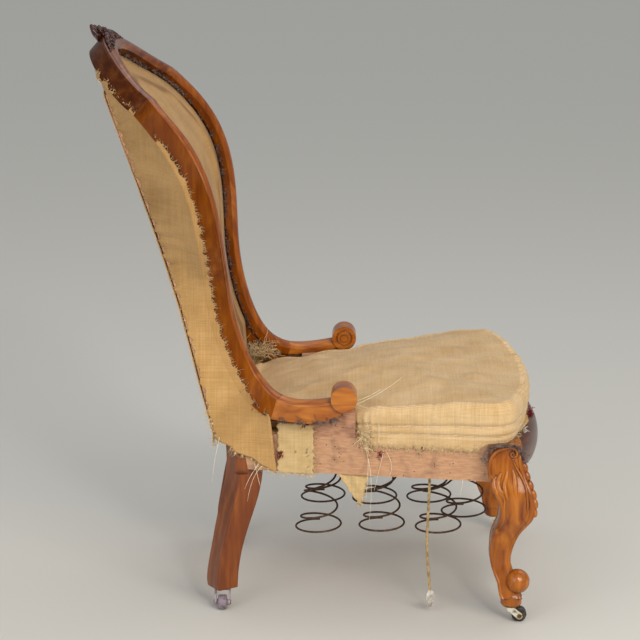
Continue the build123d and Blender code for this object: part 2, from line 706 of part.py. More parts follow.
brace_post = post_at(BRACE_BOTTOM + BRACE_HEIGHT / 2)
brace_front = crown[WAIST].Y
with BuildPart() as waist_brace:
    with Locations((crown[WAIST].X, (brace_post.Y + brace_front) / 2, BRACE_BOTTOM)):
        Box(BRACE_WIDTH, brace_post.Y - brace_front, BRACE_HEIGHT, align=up)
    add(stile_blank.part, mode=Mode.SUBTRACT)
    add(back_post.part, mode=Mode.SUBTRACT)
    add(waist_brace.solids().sort_by(SortBy.VOLUME)[-1:], mode=Mode.REPLACE)
keep_pair("waist_brace", waist_brace)

# Corner blocks of the seat frame, each held by one screw into the leg
with BuildPart() as front_corner_block:
    with BuildSketch(Plane.XY.offset(RAIL_BOTTOM + BLOCK_FOOT)):
        with BuildLine():
            Polyline(*front_block, close=True)
        make_face()
    extrude(amount=BLOCK_HEIGHT)
    for neighbour in (front_leg_blank, side_rail, front_rail):
        add(neighbour.part, mode=Mode.SUBTRACT)
    with Locations(*side_dowels, *front_dowels):
        Cylinder(hole_radius, hole_length, mode=Mode.SUBTRACT)
    add(front_corner_block.solids().sort_by(SortBy.VOLUME)[-1:], mode=Mode.REPLACE)
    with Locations(front_block_screw):
        Cylinder(block_hole, BLOCK_SCREW_LENGTH, align=up, mode=Mode.SUBTRACT)
keep_pair("front_corner_block", front_corner_block)

with BuildPart() as rear_corner_block:
    with BuildSketch(Plane.XY.offset(RAIL_BOTTOM + BLOCK_FOOT)):
        with BuildLine():
            Polyline(*rear_block, close=True)
        make_face()
    extrude(amount=BLOCK_HEIGHT)
    for neighbour in (rear_leg_blank, side_rail, back_rail):
        add(neighbour.part, mode=Mode.SUBTRACT)
    with Locations(*side_dowels, *back_dowels):
        Cylinder(hole_radius, hole_length, mode=Mode.SUBTRACT)
    add(rear_corner_block.solids().sort_by(SortBy.VOLUME)[-1:], mode=Mode.REPLACE)
    with Locations(rear_block_screw):
        Cylinder(block_hole, BLOCK_SCREW_LENGTH, align=up, mode=Mode.SUBTRACT)
keep_pair("rear_corner_block", rear_corner_block)

# Dowels, screws and tacks
with BuildPart() as frame_dowels:
    with Locations(*both_sides(crest_dowels + arm_dowels + side_dowels + front_dowels + back_dowels)):
        Cylinder(DOWEL_RADIUS, DOWEL_LENGTH)
keep("frame_dowels", frame_dowels)

with BuildPart() as block_screws:
    with Locations(*both_sides([front_block_screw, rear_block_screw])):
        Cylinder(BLOCK_SCREW_RADIUS, BLOCK_SCREW_LENGTH, align=up)
        Cylinder(BLOCK_SCREW_HEAD_RADIUS, BLOCK_SCREW_HEAD, align=down)
keep("block_screws", block_screws)

tack_heads = [Plane(p.origin + p.z_dir * TACK_LIFT, z_dir=p.z_dir) for p in tack_planes]
with BuildPart() as tacks:
    with Locations(*both_sides(tack_heads)):
        Cylinder(TACK_HEAD_RADIUS, TACK_HEAD, align=up)
        Cylinder(TACK_SHANK_RADIUS, TACK_LENGTH, align=down)
keep("tacks", tacks)

# Casters: plates screwed below the legs, forks that swivel in them, pins and wheels
plate_spots = both_sides(front_pintle + rear_pintle)
plate_screws = both_sides(front_screws + rear_screws)
with BuildPart() as caster_plates:
    with Locations(*plate_spots):
        Cylinder(PLATE_RADIUS, PLATE_THICKNESS, align=down)
        Cylinder(PINTLE_RADIUS + PINTLE_CLEARANCE, 2 * PLATE_THICKNESS, mode=Mode.SUBTRACT)
    with Locations(*plate_screws):
        Cylinder(screw_hole, PLATE_THICKNESS, align=up, mode=Mode.SUBTRACT)
        Cone(SCREW_HEAD_RADIUS + FIT_CLEARANCE, screw_hole, SCREW_HEAD, align=up, mode=Mode.SUBTRACT)
keep("caster_plates", caster_plates)

with BuildPart() as caster_screws:
    with Locations(*plate_screws):
        Cylinder(SCREW_RADIUS, SCREW_LENGTH, align=up)
        Cone(SCREW_HEAD_RADIUS, SCREW_RADIUS, SCREW_HEAD, align=up)
keep("caster_screws", caster_screws)

trail = WHEEL_RADIUS + TRAIL_MARGIN
fork_width = FORK_GAP + 2 * FORK_ARM
axle_length = fork_width + 2 * AXLE_HEAD
plate_stack = PLATE_THICKNESS + 2 * SWIVEL_CLEARANCE


def make_caster(end, frame, foot):
    """Builds and keeps the fork, pin and wheel of one pair of casters."""
    crown_top = foot - PLATE_THICKNESS - SWIVEL_CLEARANCE
    side_plane = Plane(frame.origin, x_dir=frame.x_dir, z_dir=frame.x_dir.cross(frame.z_dir))
    hub_plane = spots_on(side_plane, [(trail, WHEEL_RADIUS, 0)])[0]
    with BuildPart() as fork:
        for face in (-fork_width / 2, FORK_GAP / 2):
            with BuildSketch(side_plane.offset(face)):
                with Locations((-FORK_BACK, crown_top)):
                    Rectangle(FORK_BACK + FORK_FRONT, FORK_CROWN, align=(Align.MIN, Align.MAX))
                with Locations((trail, WHEEL_RADIUS)):
                    Circle(FORK_EYE_RADIUS)
                make_hull()
            extrude(amount=FORK_ARM)
        with BuildSketch(side_plane.offset(-fork_width / 2)):
            with Locations((-FORK_BACK, crown_top)):
                Rectangle(FORK_BACK + FORK_FRONT, FORK_CROWN, align=(Align.MIN, Align.MAX))
        extrude(amount=fork_width)
        with Locations(frame.offset(crown_top)):
            Cylinder(PINTLE_RADIUS, plate_stack, align=up)
        with Locations(frame.offset(crown_top + plate_stack)):
            Cylinder(PINTLE_HEAD_RADIUS, PINTLE_HEAD, align=up)
        with Locations(hub_plane):
            Cylinder(AXLE_RADIUS + AXLE_CLEARANCE, fork_width, mode=Mode.SUBTRACT)
    keep_pair(f"{end}_caster_fork", fork)
    with BuildPart() as axle:
        with Locations(hub_plane):
            Cylinder(AXLE_RADIUS, axle_length)
        with Locations(hub_plane.offset(fork_width / 2)):
            Cylinder(AXLE_HEAD_RADIUS, AXLE_HEAD, align=up)
        with Locations(hub_plane.offset(-fork_width / 2)):
            Cylinder(AXLE_HEAD_RADIUS, AXLE_HEAD, align=down)
    keep_pair(f"{end}_caster_axle", axle)
    with BuildPart() as wheel:
        with Locations(hub_plane):
            Cylinder(WHEEL_RADIUS, WHEEL_WIDTH)
        fillet(wheel.edges(), WHEEL_ROUND)
        with Locations(hub_plane):
            Cylinder(HUB_RADIUS, HUB_LENGTH)
            Cylinder(AXLE_RADIUS + AXLE_CLEARANCE, HUB_LENGTH, mode=Mode.SUBTRACT)
    keep_pair(f"{end}_caster_wheel", wheel)


make_caster("front", front_caster, FRONT_FOOT)
make_caster("rear", rear_caster, REAR_FOOT)

# Spring canvas, stretched over the seat frame
canvas_radius = FRONT_RAIL_RADIUS - CANVAS_FRONT_SET
canvas_front_x = FRONT_LEG_TOP_X - FRONT_LEG_TOP_HALF - CANVAS_LEG_GAP
canvas_leg_y = FRONT_LEG_TOP_Y + FRONT_LEG_TOP_HALF + CANVAS_LEG_GAP
canvas_side = [
    (rail_half(CANVAS_REAR_Y) - CANVAS_MARGIN, CANVAS_REAR_Y),
    (rail_half(canvas_leg_y) - CANVAS_MARGIN, canvas_leg_y),
    (canvas_front_x, canvas_leg_y),
    (canvas_front_x, front_axis_y - sqrt(canvas_radius**2 - canvas_front_x**2)),
]
canvas_other = [(-x, y) for x, y in canvas_side]
with BuildPart() as spring_canvas:
    with BuildSketch(Plane.XY.offset(RAIL_TOP)):
        with BuildLine():
            Polyline(*reversed(canvas_other), *canvas_side)
            ThreePointArc(canvas_side[3], (0, front_axis_y - canvas_radius), canvas_other[3])
        make_face()
    extrude(amount=CLOTH)
keep("spring_canvas", spring_canvas)

# Double-waisted springs hang from the canvas, each one tube along arcs of about an eighth of a turn
spring_top = RAIL_TOP - SEAT_GAP - SPRING_WIRE / 2
spring_height = spring_top - SPRING_FOOT
QUARTERS = round(4 * SPRING_TURNS)


def spring_point(share, place, lean):
    """Point of a spring's line at a share of its length from the foot."""
    rise = share - SPRING_END_CLOSING * sin(2 * pi * share) / (2 * pi)
    radius = SPRING_WAIST_RADIUS + (SPRING_END_RADIUS - SPRING_WAIST_RADIUS) * abs(2 * share - 1) ** 1.5
    turn = 2 * pi * SPRING_TURNS * share
    sway = 1 - rise
    x = place[0] + lean[0] * sway + radius * cos(turn)
    y = place[1] + lean[1] * sway + radius * sin(turn)
    return Vector(x, y, SPRING_FOOT + spring_height * rise)


def make_spring(name, place, lean):
    """Builds and keeps one spring as a tube along pairs of tangent arcs."""
    step = 1 / QUARTERS
    small = step / 1000
    points = [spring_point(i * step, place, lean) for i in range(QUARTERS + 1)]
    runs = []
    for i in range(QUARTERS + 1):
        ahead = spring_point(min(i * step + small, 1), place, lean)
        behind = spring_point(max(i * step - small, 0), place, lean)
        runs.append((ahead - behind).normalized())
    with BuildPart() as spring:
        with BuildLine() as line:
            for start, end, leave, arrive in zip(points, points[1:], runs, runs[1:]):
                chord = end - start
                along = chord.dot(leave + arrive)
                bend = 2 * (1 - leave.dot(arrive))
                reach = (sqrt(along**2 + bend * chord.dot(chord)) - along) / bend
                near = start + leave * reach
                far = end - arrive * reach
                TangentArc(start, (near + far) * 0.5, tangent=leave)
                TangentArc((near + far) * 0.5, end, tangent=far - near)
        with BuildSketch(Plane(points[0], z_dir=runs[0])):
            Circle(SPRING_WIRE / 2)
        sweep(path=line.wire())
    keep(name, spring)
    fine = [spring_point(i / GAP_SAMPLES, place, lean) for i in range(GAP_SAMPLES + 1)]
    apart = round(GAP_SAMPLES / SPRING_TURNS / 2)
    gaps = [(a - b).length for i, a in enumerate(fine) for b in fine[i + apart :]]
    print(name, "least gap between curls", round(min(gaps) - SPRING_WIRE, 2))


for number, (place, lean) in enumerate(zip(SPRING_PLACES, SPRING_LEANS)):
    make_spring(f"seat_spring_{number + 1}", place, lean)


def pad_layer(height, growth, tilt):
    """Outline of the seat pad on one of its tilted layers."""
    level = Plane((0, PAD_PIVOT_Y, CANVAS_TOP + SEAT_GAP + height)).rotated((-tilt, 0, 0))
    side = [
        (PAD_REAR_HALF + growth, PAD_REAR_Y + growth),
        (rail_half(PAD_ARM_Y) - ARM_BLOCK_THICKNESS - PAD_ARM_GAP + growth, PAD_ARM_Y),
        (rail_half(PAD_FLARE_Y) - PAD_FLARE_SET + growth, PAD_FLARE_Y),
        (PAD_SIDE_HALF + growth, PAD_SIDE_Y - growth / 2),
        (PAD_CORNER_HALF + growth, PAD_CORNER_Y - growth),
    ]
    side = [(x, y - PAD_PIVOT_Y) for x, y in side]
    other = [(-x, y) for x, y in side]
    with BuildSketch(level) as section:
        with BuildLine():
            Polyline(*reversed(other), *side)
            ThreePointArc(side[4], (0, PAD_FRONT_Y - growth - PAD_PIVOT_Y), other[4])
        make_face()
    return section.sketch


with BuildPart() as seat_pad:
    loft(sections=[pad_layer(*layer) for layer in PAD_LAYERS], ruled=True)
keep("seat_pad", seat_pad)

# Hessian inside the back, behind the moulded frame
inner_edge = [p.from_local_coords((INNER_SHEET_EDGE, -INNER_SHEET_SET)) for p in left_planes[: WAIST + 1]]
inner_edge[0] = Vector(INNER_TOP_HALF, inner_edge[0].Y, inner_edge[0].Z - INNER_TOP_DROP)
inner_edge.append(Vector(INNER_FOOT_HALF, INNER_FOOT_Y, INNER_FOOT_Z))
with BuildLine() as inner_line:
    Spline(*[Vector(0, p.Y, p.Z) for p in inner_edge])
inner_curve = inner_line.edge()
inner_sections = []
for p in inner_edge:
    middle = Vector(0, p.Y, p.Z)
    with BuildSketch(Plane(middle, x_dir=(1, 0, 0), z_dir=inner_curve.tangent_at(middle))) as section:
        Rectangle(2 * p.X, CLOTH)
    inner_sections.append(section.sketch)
with BuildPart() as inside_back_hessian:
    loft(sections=inner_sections)
keep("inside_back_hessian", inside_back_hessian)

# Hessian on the sides of the back, from the frame round to the posts
hessian_corner = Vector(POST_WIDTH / 2 + SEAT_GAP, POST_DEPTH / 2 - 2 * CLOTH, 0)
hessian_rear = [post_at(z) + hessian_corner for z in HESSIAN_HEIGHTS]
hessian_rear.append(Vector(rail_half(HESSIAN_FRONT_Y) + SEAT_GAP, HESSIAN_FRONT_Y, HESSIAN_FOOT_Z))
face_out = HALF_FRAME + SEAT_GAP
hessian_sections = []
for i, rear in zip(range(HESSIAN_FIRST, HESSIAN_LAST + 1), hessian_rear):
    frame_plane = left_planes[i]
    top = frame_plane.from_local_coords((face_out, HESSIAN_TUCK - FRAME_DEPTH))
    edge = frame_plane.from_local_coords((face_out, -FRAME_DEPTH - SEAT_GAP))
    strip = Plane(edge, x_dir=rear - edge, z_dir=(top - edge).cross(rear - edge))
    fold = strip.to_local_coords(top)
    reach = strip.to_local_coords(rear)
    side_normal = Vector(fold.Y, -fold.X).normalized()
    rear_normal = Vector(0, 1)
    corner = (side_normal + rear_normal) * (CLOTH / (1 + side_normal.dot(rear_normal)))
    with BuildSketch(strip) as section:
        with BuildLine():
            Polyline(
                fold,
                Vector(0, 0),
                reach,
                reach + rear_normal * CLOTH,
                corner,
                fold + side_normal * CLOTH,
                close=True,
            )
        make_face()
    hessian_sections.append(section.sketch)
with BuildPart() as side_hessian:
    loft(sections=hessian_sections)
    for neighbour in (stile_blank, crest_rail, arm):
        add(neighbour.part, mode=Mode.SUBTRACT)
    add(side_hessian.solids().sort_by(SortBy.VOLUME)[-1:], mode=Mode.REPLACE)
keep_pair("side_hessian", side_hessian)

# Hessian across the back, outside the posts
sheet_reach = POST_WIDTH / 2 + SEAT_GAP + CLOTH
sheet_set = POST_DEPTH / 2 + SEAT_GAP + CLOTH / 2
back_sections = []
for height in [BACK_SHEET_FOOT] + [z for x, y, z in POST_LINE[1:-1]] + [BACK_SHEET_TOP]:
    post = post_at(height)
    with BuildSketch(Plane((0, post.Y + sheet_set, height))) as section:
        Rectangle(2 * (post.X + sheet_reach), CLOTH)
    back_sections.append(section.sketch)
shoulder = post_at(BACK_SHEET_SHOULDER).X + sheet_reach
with BuildPart() as outside_back_hessian:
    loft(sections=back_sections)
    with BuildSketch(Plane.XZ):
        with BuildLine():
            ThreePointArc(
                (-shoulder, BACK_SHEET_SHOULDER),
                (0, BACK_SHEET_SHOULDER + BACK_SHEET_ARCH),
                (shoulder, BACK_SHEET_SHOULDER),
            )
            Polyline(
                (shoulder, BACK_SHEET_SHOULDER),
                (2 * shoulder, BACK_SHEET_SHOULDER),
                (2 * shoulder, 0),
                (-2 * shoulder, 0),
                (-2 * shoulder, BACK_SHEET_SHOULDER),
                (-shoulder, BACK_SHEET_SHOULDER),
            )
        make_face()
    extrude(amount=-2 * POST_LINE[-1][1], mode=Mode.INTERSECT)
keep("outside_back_hessian", outside_back_hessian)

# Loose remnant of hessian on the right side rail, and a torn flap below that rail
patch_plane = Plane((-rail_half(0), 0, 0), x_dir=(-side_run.X, side_run.Y, 0), z_dir=(-side_out.X, side_out.Y, 0))
with BuildPart() as rail_patch:
    with BuildSketch(patch_plane.offset(SEAT_GAP)):
        with BuildLine():
            Polyline(
                (-PATCH_REAR, PATCH_FOOT),
                (-PATCH_FRONT, PATCH_FOOT),
                (-PATCH_FRONT, PATCH_TOP),
                (-PATCH_REAR, PATCH_TOP),
                close=True,
            )
        make_face()
    extrude(amount=CLOTH)
keep("rail_patch", rail_patch)

with BuildPart() as canvas_flap:
    with BuildSketch(Plane.YZ.offset(FLAP_X)):
        with BuildLine():
            Polyline(
                (FLAP_REAR, RAIL_BOTTOM - SEAT_GAP),
                (FLAP_FRONT, RAIL_BOTTOM - SEAT_GAP),
                (FLAP_TIP_Y, RAIL_BOTTOM - SEAT_GAP - FLAP_DROP),
                close=True,
            )
        make_face()
    extrude(amount=CLOTH)
keep("canvas_flap", canvas_flap)

# Cord hanging from the right side rail, with a frayed tuft at its end
cord = [Vector(*p) for p in CORD_POINTS]
cord_runs = [b - a for a, b in zip(cord, cord[1:])]
cord_radii = []
for before, after in zip(cord_runs, cord_runs[1:]):
    half_turn = radians(before.get_angle(after) / 2)
    cord_radii.append(ARC_SHARE * min(before.length, after.length) / tan(half_turn))
with BuildPart() as hanging_cord:
    with BuildLine() as cord_line:
        FilletPolyline(*cord, radius=cord_radii)
    with BuildSketch(Plane(cord[0], z_dir=cord_runs[0])):
        Circle(CORD_RADIUS)
    sweep(path=cord_line.wire())
keep("hanging_cord", hanging_cord)

with BuildPart() as cord_tuft:
    with BuildSketch(Plane.XZ.offset(-cord[-1].Y)):
        with BuildLine():
            tuft_middle = (cord[-1].X, cord[-1].Z - SEAT_GAP - TUFT_HEIGHT / 2)
            EllipticalCenterArc(tuft_middle, TUFT_RADIUS, TUFT_HEIGHT / 2, start_angle=-90, arc_size=180)
            Line(
                (tuft_middle[0], tuft_middle[1] + TUFT_HEIGHT / 2),
                (tuft_middle[0], tuft_middle[1] - TUFT_HEIGHT / 2),
            )
        make_face()
    revolve(axis=Axis(cord[-1], (0, 0, 1)))
keep("cord_tuft", cord_tuft)

for name, part in PIECES.items():
    print(name, len(part.solids()), round(part.volume), part.is_valid)
    export_step(part, f"parts/{name}.step")
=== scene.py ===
"""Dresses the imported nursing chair: french-polished show wood, torn hessian, springs, cord and casters.

Lengths in the classes' fields are in millimetres, as on the drawing, where no comment says otherwise, and
meshes are in metres. The sitter faces -Y, and the sitter's right side, -X, is towards the camera.
"""

import logging
import math
from dataclasses import dataclass, field
from enum import Enum

import bpy
import numpy as np
from mathutils import Matrix, Vector


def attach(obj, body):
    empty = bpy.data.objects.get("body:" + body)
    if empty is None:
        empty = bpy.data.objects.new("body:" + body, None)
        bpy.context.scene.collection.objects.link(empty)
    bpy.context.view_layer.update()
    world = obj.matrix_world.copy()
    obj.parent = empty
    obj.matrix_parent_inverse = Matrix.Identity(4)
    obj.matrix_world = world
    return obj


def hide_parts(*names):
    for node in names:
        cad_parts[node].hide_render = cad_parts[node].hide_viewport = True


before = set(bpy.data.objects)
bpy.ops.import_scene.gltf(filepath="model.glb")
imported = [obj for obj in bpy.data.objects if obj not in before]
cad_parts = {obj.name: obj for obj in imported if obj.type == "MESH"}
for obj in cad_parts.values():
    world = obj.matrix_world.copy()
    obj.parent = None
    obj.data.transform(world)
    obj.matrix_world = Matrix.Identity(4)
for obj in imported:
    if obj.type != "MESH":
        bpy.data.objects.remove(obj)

MM = 0.001
TURN = 2 * math.pi
CLOTH_MAP = "cloth"
STAIN = "stain"
FINISH_MARK = "dressed_"  # keeps the finishes apart from the record's own materials
HESSIAN = "hessian"
MAHOGANY = "polished_mahogany"
OUTWARDS = (1.0, 0.0, 0.0)
CLOTH = 1.2  # mm of a hessian sheet
RIPPLE_PEAK = 1.4  # how far a sum of waves rises above its usual height
Array = np.ndarray
Tree = bpy.types.ShaderNodeTree
log = logging.getLogger("chair")


class Side(Enum):
    """The sitter's side of the chair, as the sign of X."""

    LEFT = 1
    RIGHT = -1

    @property
    def tag(self) -> str:
        """The side as it stands in names."""
        return self.name.lower()


class Grain(Enum):
    """How much a metre of each axis counts in the wood's figure: least along the grain."""

    ACROSS = (0.12, 1.0, 1.0)
    FORWARD = (1.0, 0.12, 1.0)
    UPRIGHT = (1.0, 1.0, 0.12)


def linear(code: str) -> tuple[float, float, float, float]:
    """Linear colour of an sRGB hex code, opaque."""
    parts = [int(code[i : i + 2], 16) / 255 for i in (1, 3, 5)]
    return (*[c / 12.92 if c <= 0.04045 else ((c + 0.055) / 1.055) ** 2.4 for c in parts], 1.0)


def per_metre(size: float) -> float:
    """Repeats in a metre of a pattern of a size in mm."""
    return 1 / (size * MM)


def put(
    tree: Tree,
    kind: str,
    inputs: dict | None = None,
    out: int | str = 0,
    stops: tuple = (),
    **settings: object,
) -> bpy.types.NodeSocket | None:
    """Adds a shader node with its settings and links.

    Args:
        tree: The node tree.
        kind: The node's type name, without what all shader nodes' names start with.
        inputs: Socket name or number to a value, or to another node's output.
        out: Name or number of the output that is wanted.
        stops: Places and hex colours of a ramp.
        **settings: The node's own properties.

    Returns:
        That output; None if the node has no outputs.
    """
    node = tree.nodes.new(f"ShaderNode{kind}")
    for name, value in settings.items():
        setattr(node, name, value)
    for name, value in (inputs or {}).items():
        if isinstance(value, bpy.types.NodeSocket):
            tree.links.new(value, node.inputs[name])
        else:
            node.inputs[name].default_value = value
    for i, (place, code) in enumerate(stops):
        spots = node.color_ramp.elements
        spot = spots[i] if i < 2 else spots.new(place)
        spot.position = place
        spot.color = linear(code)
    return node.outputs[out] if node.outputs else None


@dataclass(frozen=True)
class Finish:
    """A surface finish that becomes one Blender material."""

    name: str

    def surface(self, tree: Tree) -> dict:
        """Puts the pattern's nodes into the tree.

        Args:
            tree: The material's node tree.

        Returns:
            The surface shader's sockets, as names to values or to nodes' outputs.
        """
        raise NotImplementedError

    def material(self) -> bpy.types.Material:
        """Makes the material on first use.

        Returns:
            The material.
        """
        label = f"{FINISH_MARK}{self.name}"
        made = bpy.data.materials.get(label)
        if made is None:
            made = bpy.data.materials.new(label)
            made.use_nodes = True
            tree = made.node_tree
            tree.nodes.clear()
            put(tree, "OutputMaterial", {"Surface": put(tree, "BsdfPrincipled", self.surface(tree))})
        return made


@dataclass(frozen=True)
class PolishedMahogany(Finish):
    """Mahogany, stained red-brown and french polished: amber figure under a soft gloss, with painted shade in
    the hollows and on the sides.
    """

    dark: str
    middle: str
    light: str
    grain: Grain = Grain.UPRIGHT
    # dark colour of the painted shade in the hollows and on the turned sides, and of old polish and dirt in
    # the hollows
    hollow: str = "#2E1004"
    hollow_shade_reach: float = 10.0
    shade_occlusion_range: tuple = (0.35, 0.85)  # occlusion, from a hollow in full painted shade to a clear face
    figure: float = 12.0  # mm across one streak
    pore: float = 10 / 9
    pore_depth: float = 0.2
    edge: float = 1.2  # mm of softened arris
    roughness: float = 0.3
    coat: float = 0.4
    gloss: float = 0.3
    side_shade: float = 0.0  # painted shade: how much darker the faces turned away from the front are
    side_gloss: float = 0.15  # share of the gloss that such faces keep
    front: tuple = (0.0, -0.77, 0.64)  # the way the moulded face looks
    turned: tuple = (0.2, 0.75)  # share of a face's look that is that way, from side to front
    side_shade_rise: tuple = (0.39, 0.56)  # metres of height over which the painted shade on the sides grows from its low share to full
    side_shade_low: float = 0.4  # share of the painted shade on the sides that is left low down

    def surface(self, tree: Tree) -> dict:
        """Streaks long in the grain give the figure; shellac over it gives the clear highlight.

        Args:
            tree: The material's node tree.

        Returns:
            The surface shader's sockets.
        """
        place = put(tree, "TexCoord", out="Object")
        along = put(tree, "Mapping", {"Vector": place, "Scale": self.grain.value})
        noise = {"Scale": per_metre(self.figure), "Detail": 4.0, "Roughness": 0.5, "Distortion": 0.3}
        streak = put(tree, "TexNoise", {"Vector": along, **noise})
        ramp = ((0.25, self.dark), (0.75, self.light), (0.5, self.middle))
        tone = put(tree, "ValToRGB", {0: streak}, stops=ramp)
        # painted shade: the hollows that the occlusion node finds are darkened, which partly stands for old
        # polish and dirt where no cloth reaches
        hollow = linear(self.hollow)
        hollow_occlusion = put(tree, "AmbientOcclusion", {"Distance": self.hollow_shade_reach * MM}, "AO", samples=2)
        least, most = self.shade_occlusion_range
        clear = put(tree, "MapRange", {0: hollow_occlusion, 1: least, 2: most, 3: 0.0, 4: 1.0})
        colour = put(tree, "Mix", {0: clear, 6: hollow, 7: tone}, 2, data_type="RGBA")
        # painted shade: faces turned away from the moulded front are mixed towards the dark colour, less so
        # low down, and keep less of the gloss
        normal = put(tree, "NewGeometry", out="Normal")
        facing = put(tree, "VectorMath", {0: normal, 1: self.front}, "Value", operation="DOT_PRODUCT")
        facing = put(tree, "Math", {0: facing}, operation="ABSOLUTE")
        least, most = self.turned
        turned = put(tree, "MapRange", {0: facing, 1: least, 2: most, 3: self.side_shade, 4: 0.0})
        height = put(tree, "SeparateXYZ", {0: place}, 2)
        low, high = self.side_shade_rise
        side_shade_by_height = put(tree, "MapRange", {0: height, 1: low, 2: high, 3: self.side_shade_low, 4: 1.0})
        share = put(tree, "Math", {0: turned, 1: side_shade_by_height}, operation="MULTIPLY")
        colour = put(tree, "Mix", {0: share, 6: colour, 7: hollow}, 2, data_type="RGBA")
        dull = self.side_gloss if self.side_shade else 1.0
        polish = put(tree, "MapRange", {0: facing, 1: least, 2: most, 3: dull, 4: 1.0})
        soft = put(tree, "Bevel", {"Radius": self.edge * MM}, samples=2)
        pores = put(tree, "TexNoise", {"Vector": along, "Scale": per_metre(self.pore), "Detail": 2.0})
        depth = {"Strength": 0.12, "Distance": self.pore_depth * MM, "Normal": soft}
        return {
            "Base Color": colour,
            "Roughness": self.roughness,
            "IOR": 1.5,
            "Specular IOR Level": put(tree, "Math", {0: polish, 1: self.gloss}, operation="MULTIPLY"),
            "Coat Weight": put(tree, "Math", {0: polish, 1: self.coat}, operation="MULTIPLY"),
            "Coat Roughness": 0.13,
            "Coat IOR": 1.52,
            "Normal": put(tree, "Bump", {"Height": pores, **depth}),
        }


@dataclass(frozen=True)
class BareBeech(Finish):
    """Beech, planed and never polished, greyed pink by age and pricked by rows of old tacks."""

    grain: Grain = Grain.FORWARD
    dark: str = "#B28564"
    light: str = "#C89C78"
    streak: float = 3.125  # mm across the grain
    hole: str = "#3A241A"
    spacing: float = 11.0  # mm between tack holes
    hole_edge: tuple = (0.06, 0.14)  # share of the spacing over which a hole ends
    rust: str = "#7A564A"
    rust_size: float = 22.0  # mm across one stain
    rust_range: tuple = (0.5, 0.75)  # of the cloud, from clean to the darkest stain
    rust_most: float = 0.6

    def surface(self, tree: Tree) -> dict:
        """Fine straight grain, dull, with rusty stains; the tack holes are dark dots.

        Args:
            tree: The material's node tree.

        Returns:
            The surface shader's sockets.
        """
        place = put(tree, "TexCoord", out="Object")
        along = put(tree, "Mapping", {"Vector": place, "Scale": self.grain.value})
        streak = put(tree, "TexNoise", {"Vector": along, "Scale": per_metre(self.streak), "Detail": 5.0})
        tone = put(tree, "ValToRGB", {0: streak}, stops=((0.3, self.dark), (0.62, self.light)))
        cells = put(tree, "TexVoronoi", {"Vector": place, "Scale": per_metre(self.spacing)}, "Distance")
        inner, outer = self.hole_edge
        whole = put(tree, "MapRange", {0: cells, 1: inner, 2: outer, 3: 0.0, 4: 1.0})
        cloud = put(tree, "TexNoise", {"Vector": place, "Scale": per_metre(self.rust_size), "Detail": 6.0})
        least, most = self.rust_range
        rusted = put(tree, "MapRange", {0: cloud, 1: least, 2: most, 3: 0.0, 4: self.rust_most})
        stained = put(tree, "Mix", {0: rusted, 6: tone, 7: linear(self.rust)}, 2, data_type="RGBA")
        colour = put(tree, "Mix", {0: whole, 6: linear(self.hole), 7: stained}, 2, data_type="RGBA")
        return {"Base Color": colour, "Roughness": 0.72, "IOR": 1.5, "Specular IOR Level": 0.3}


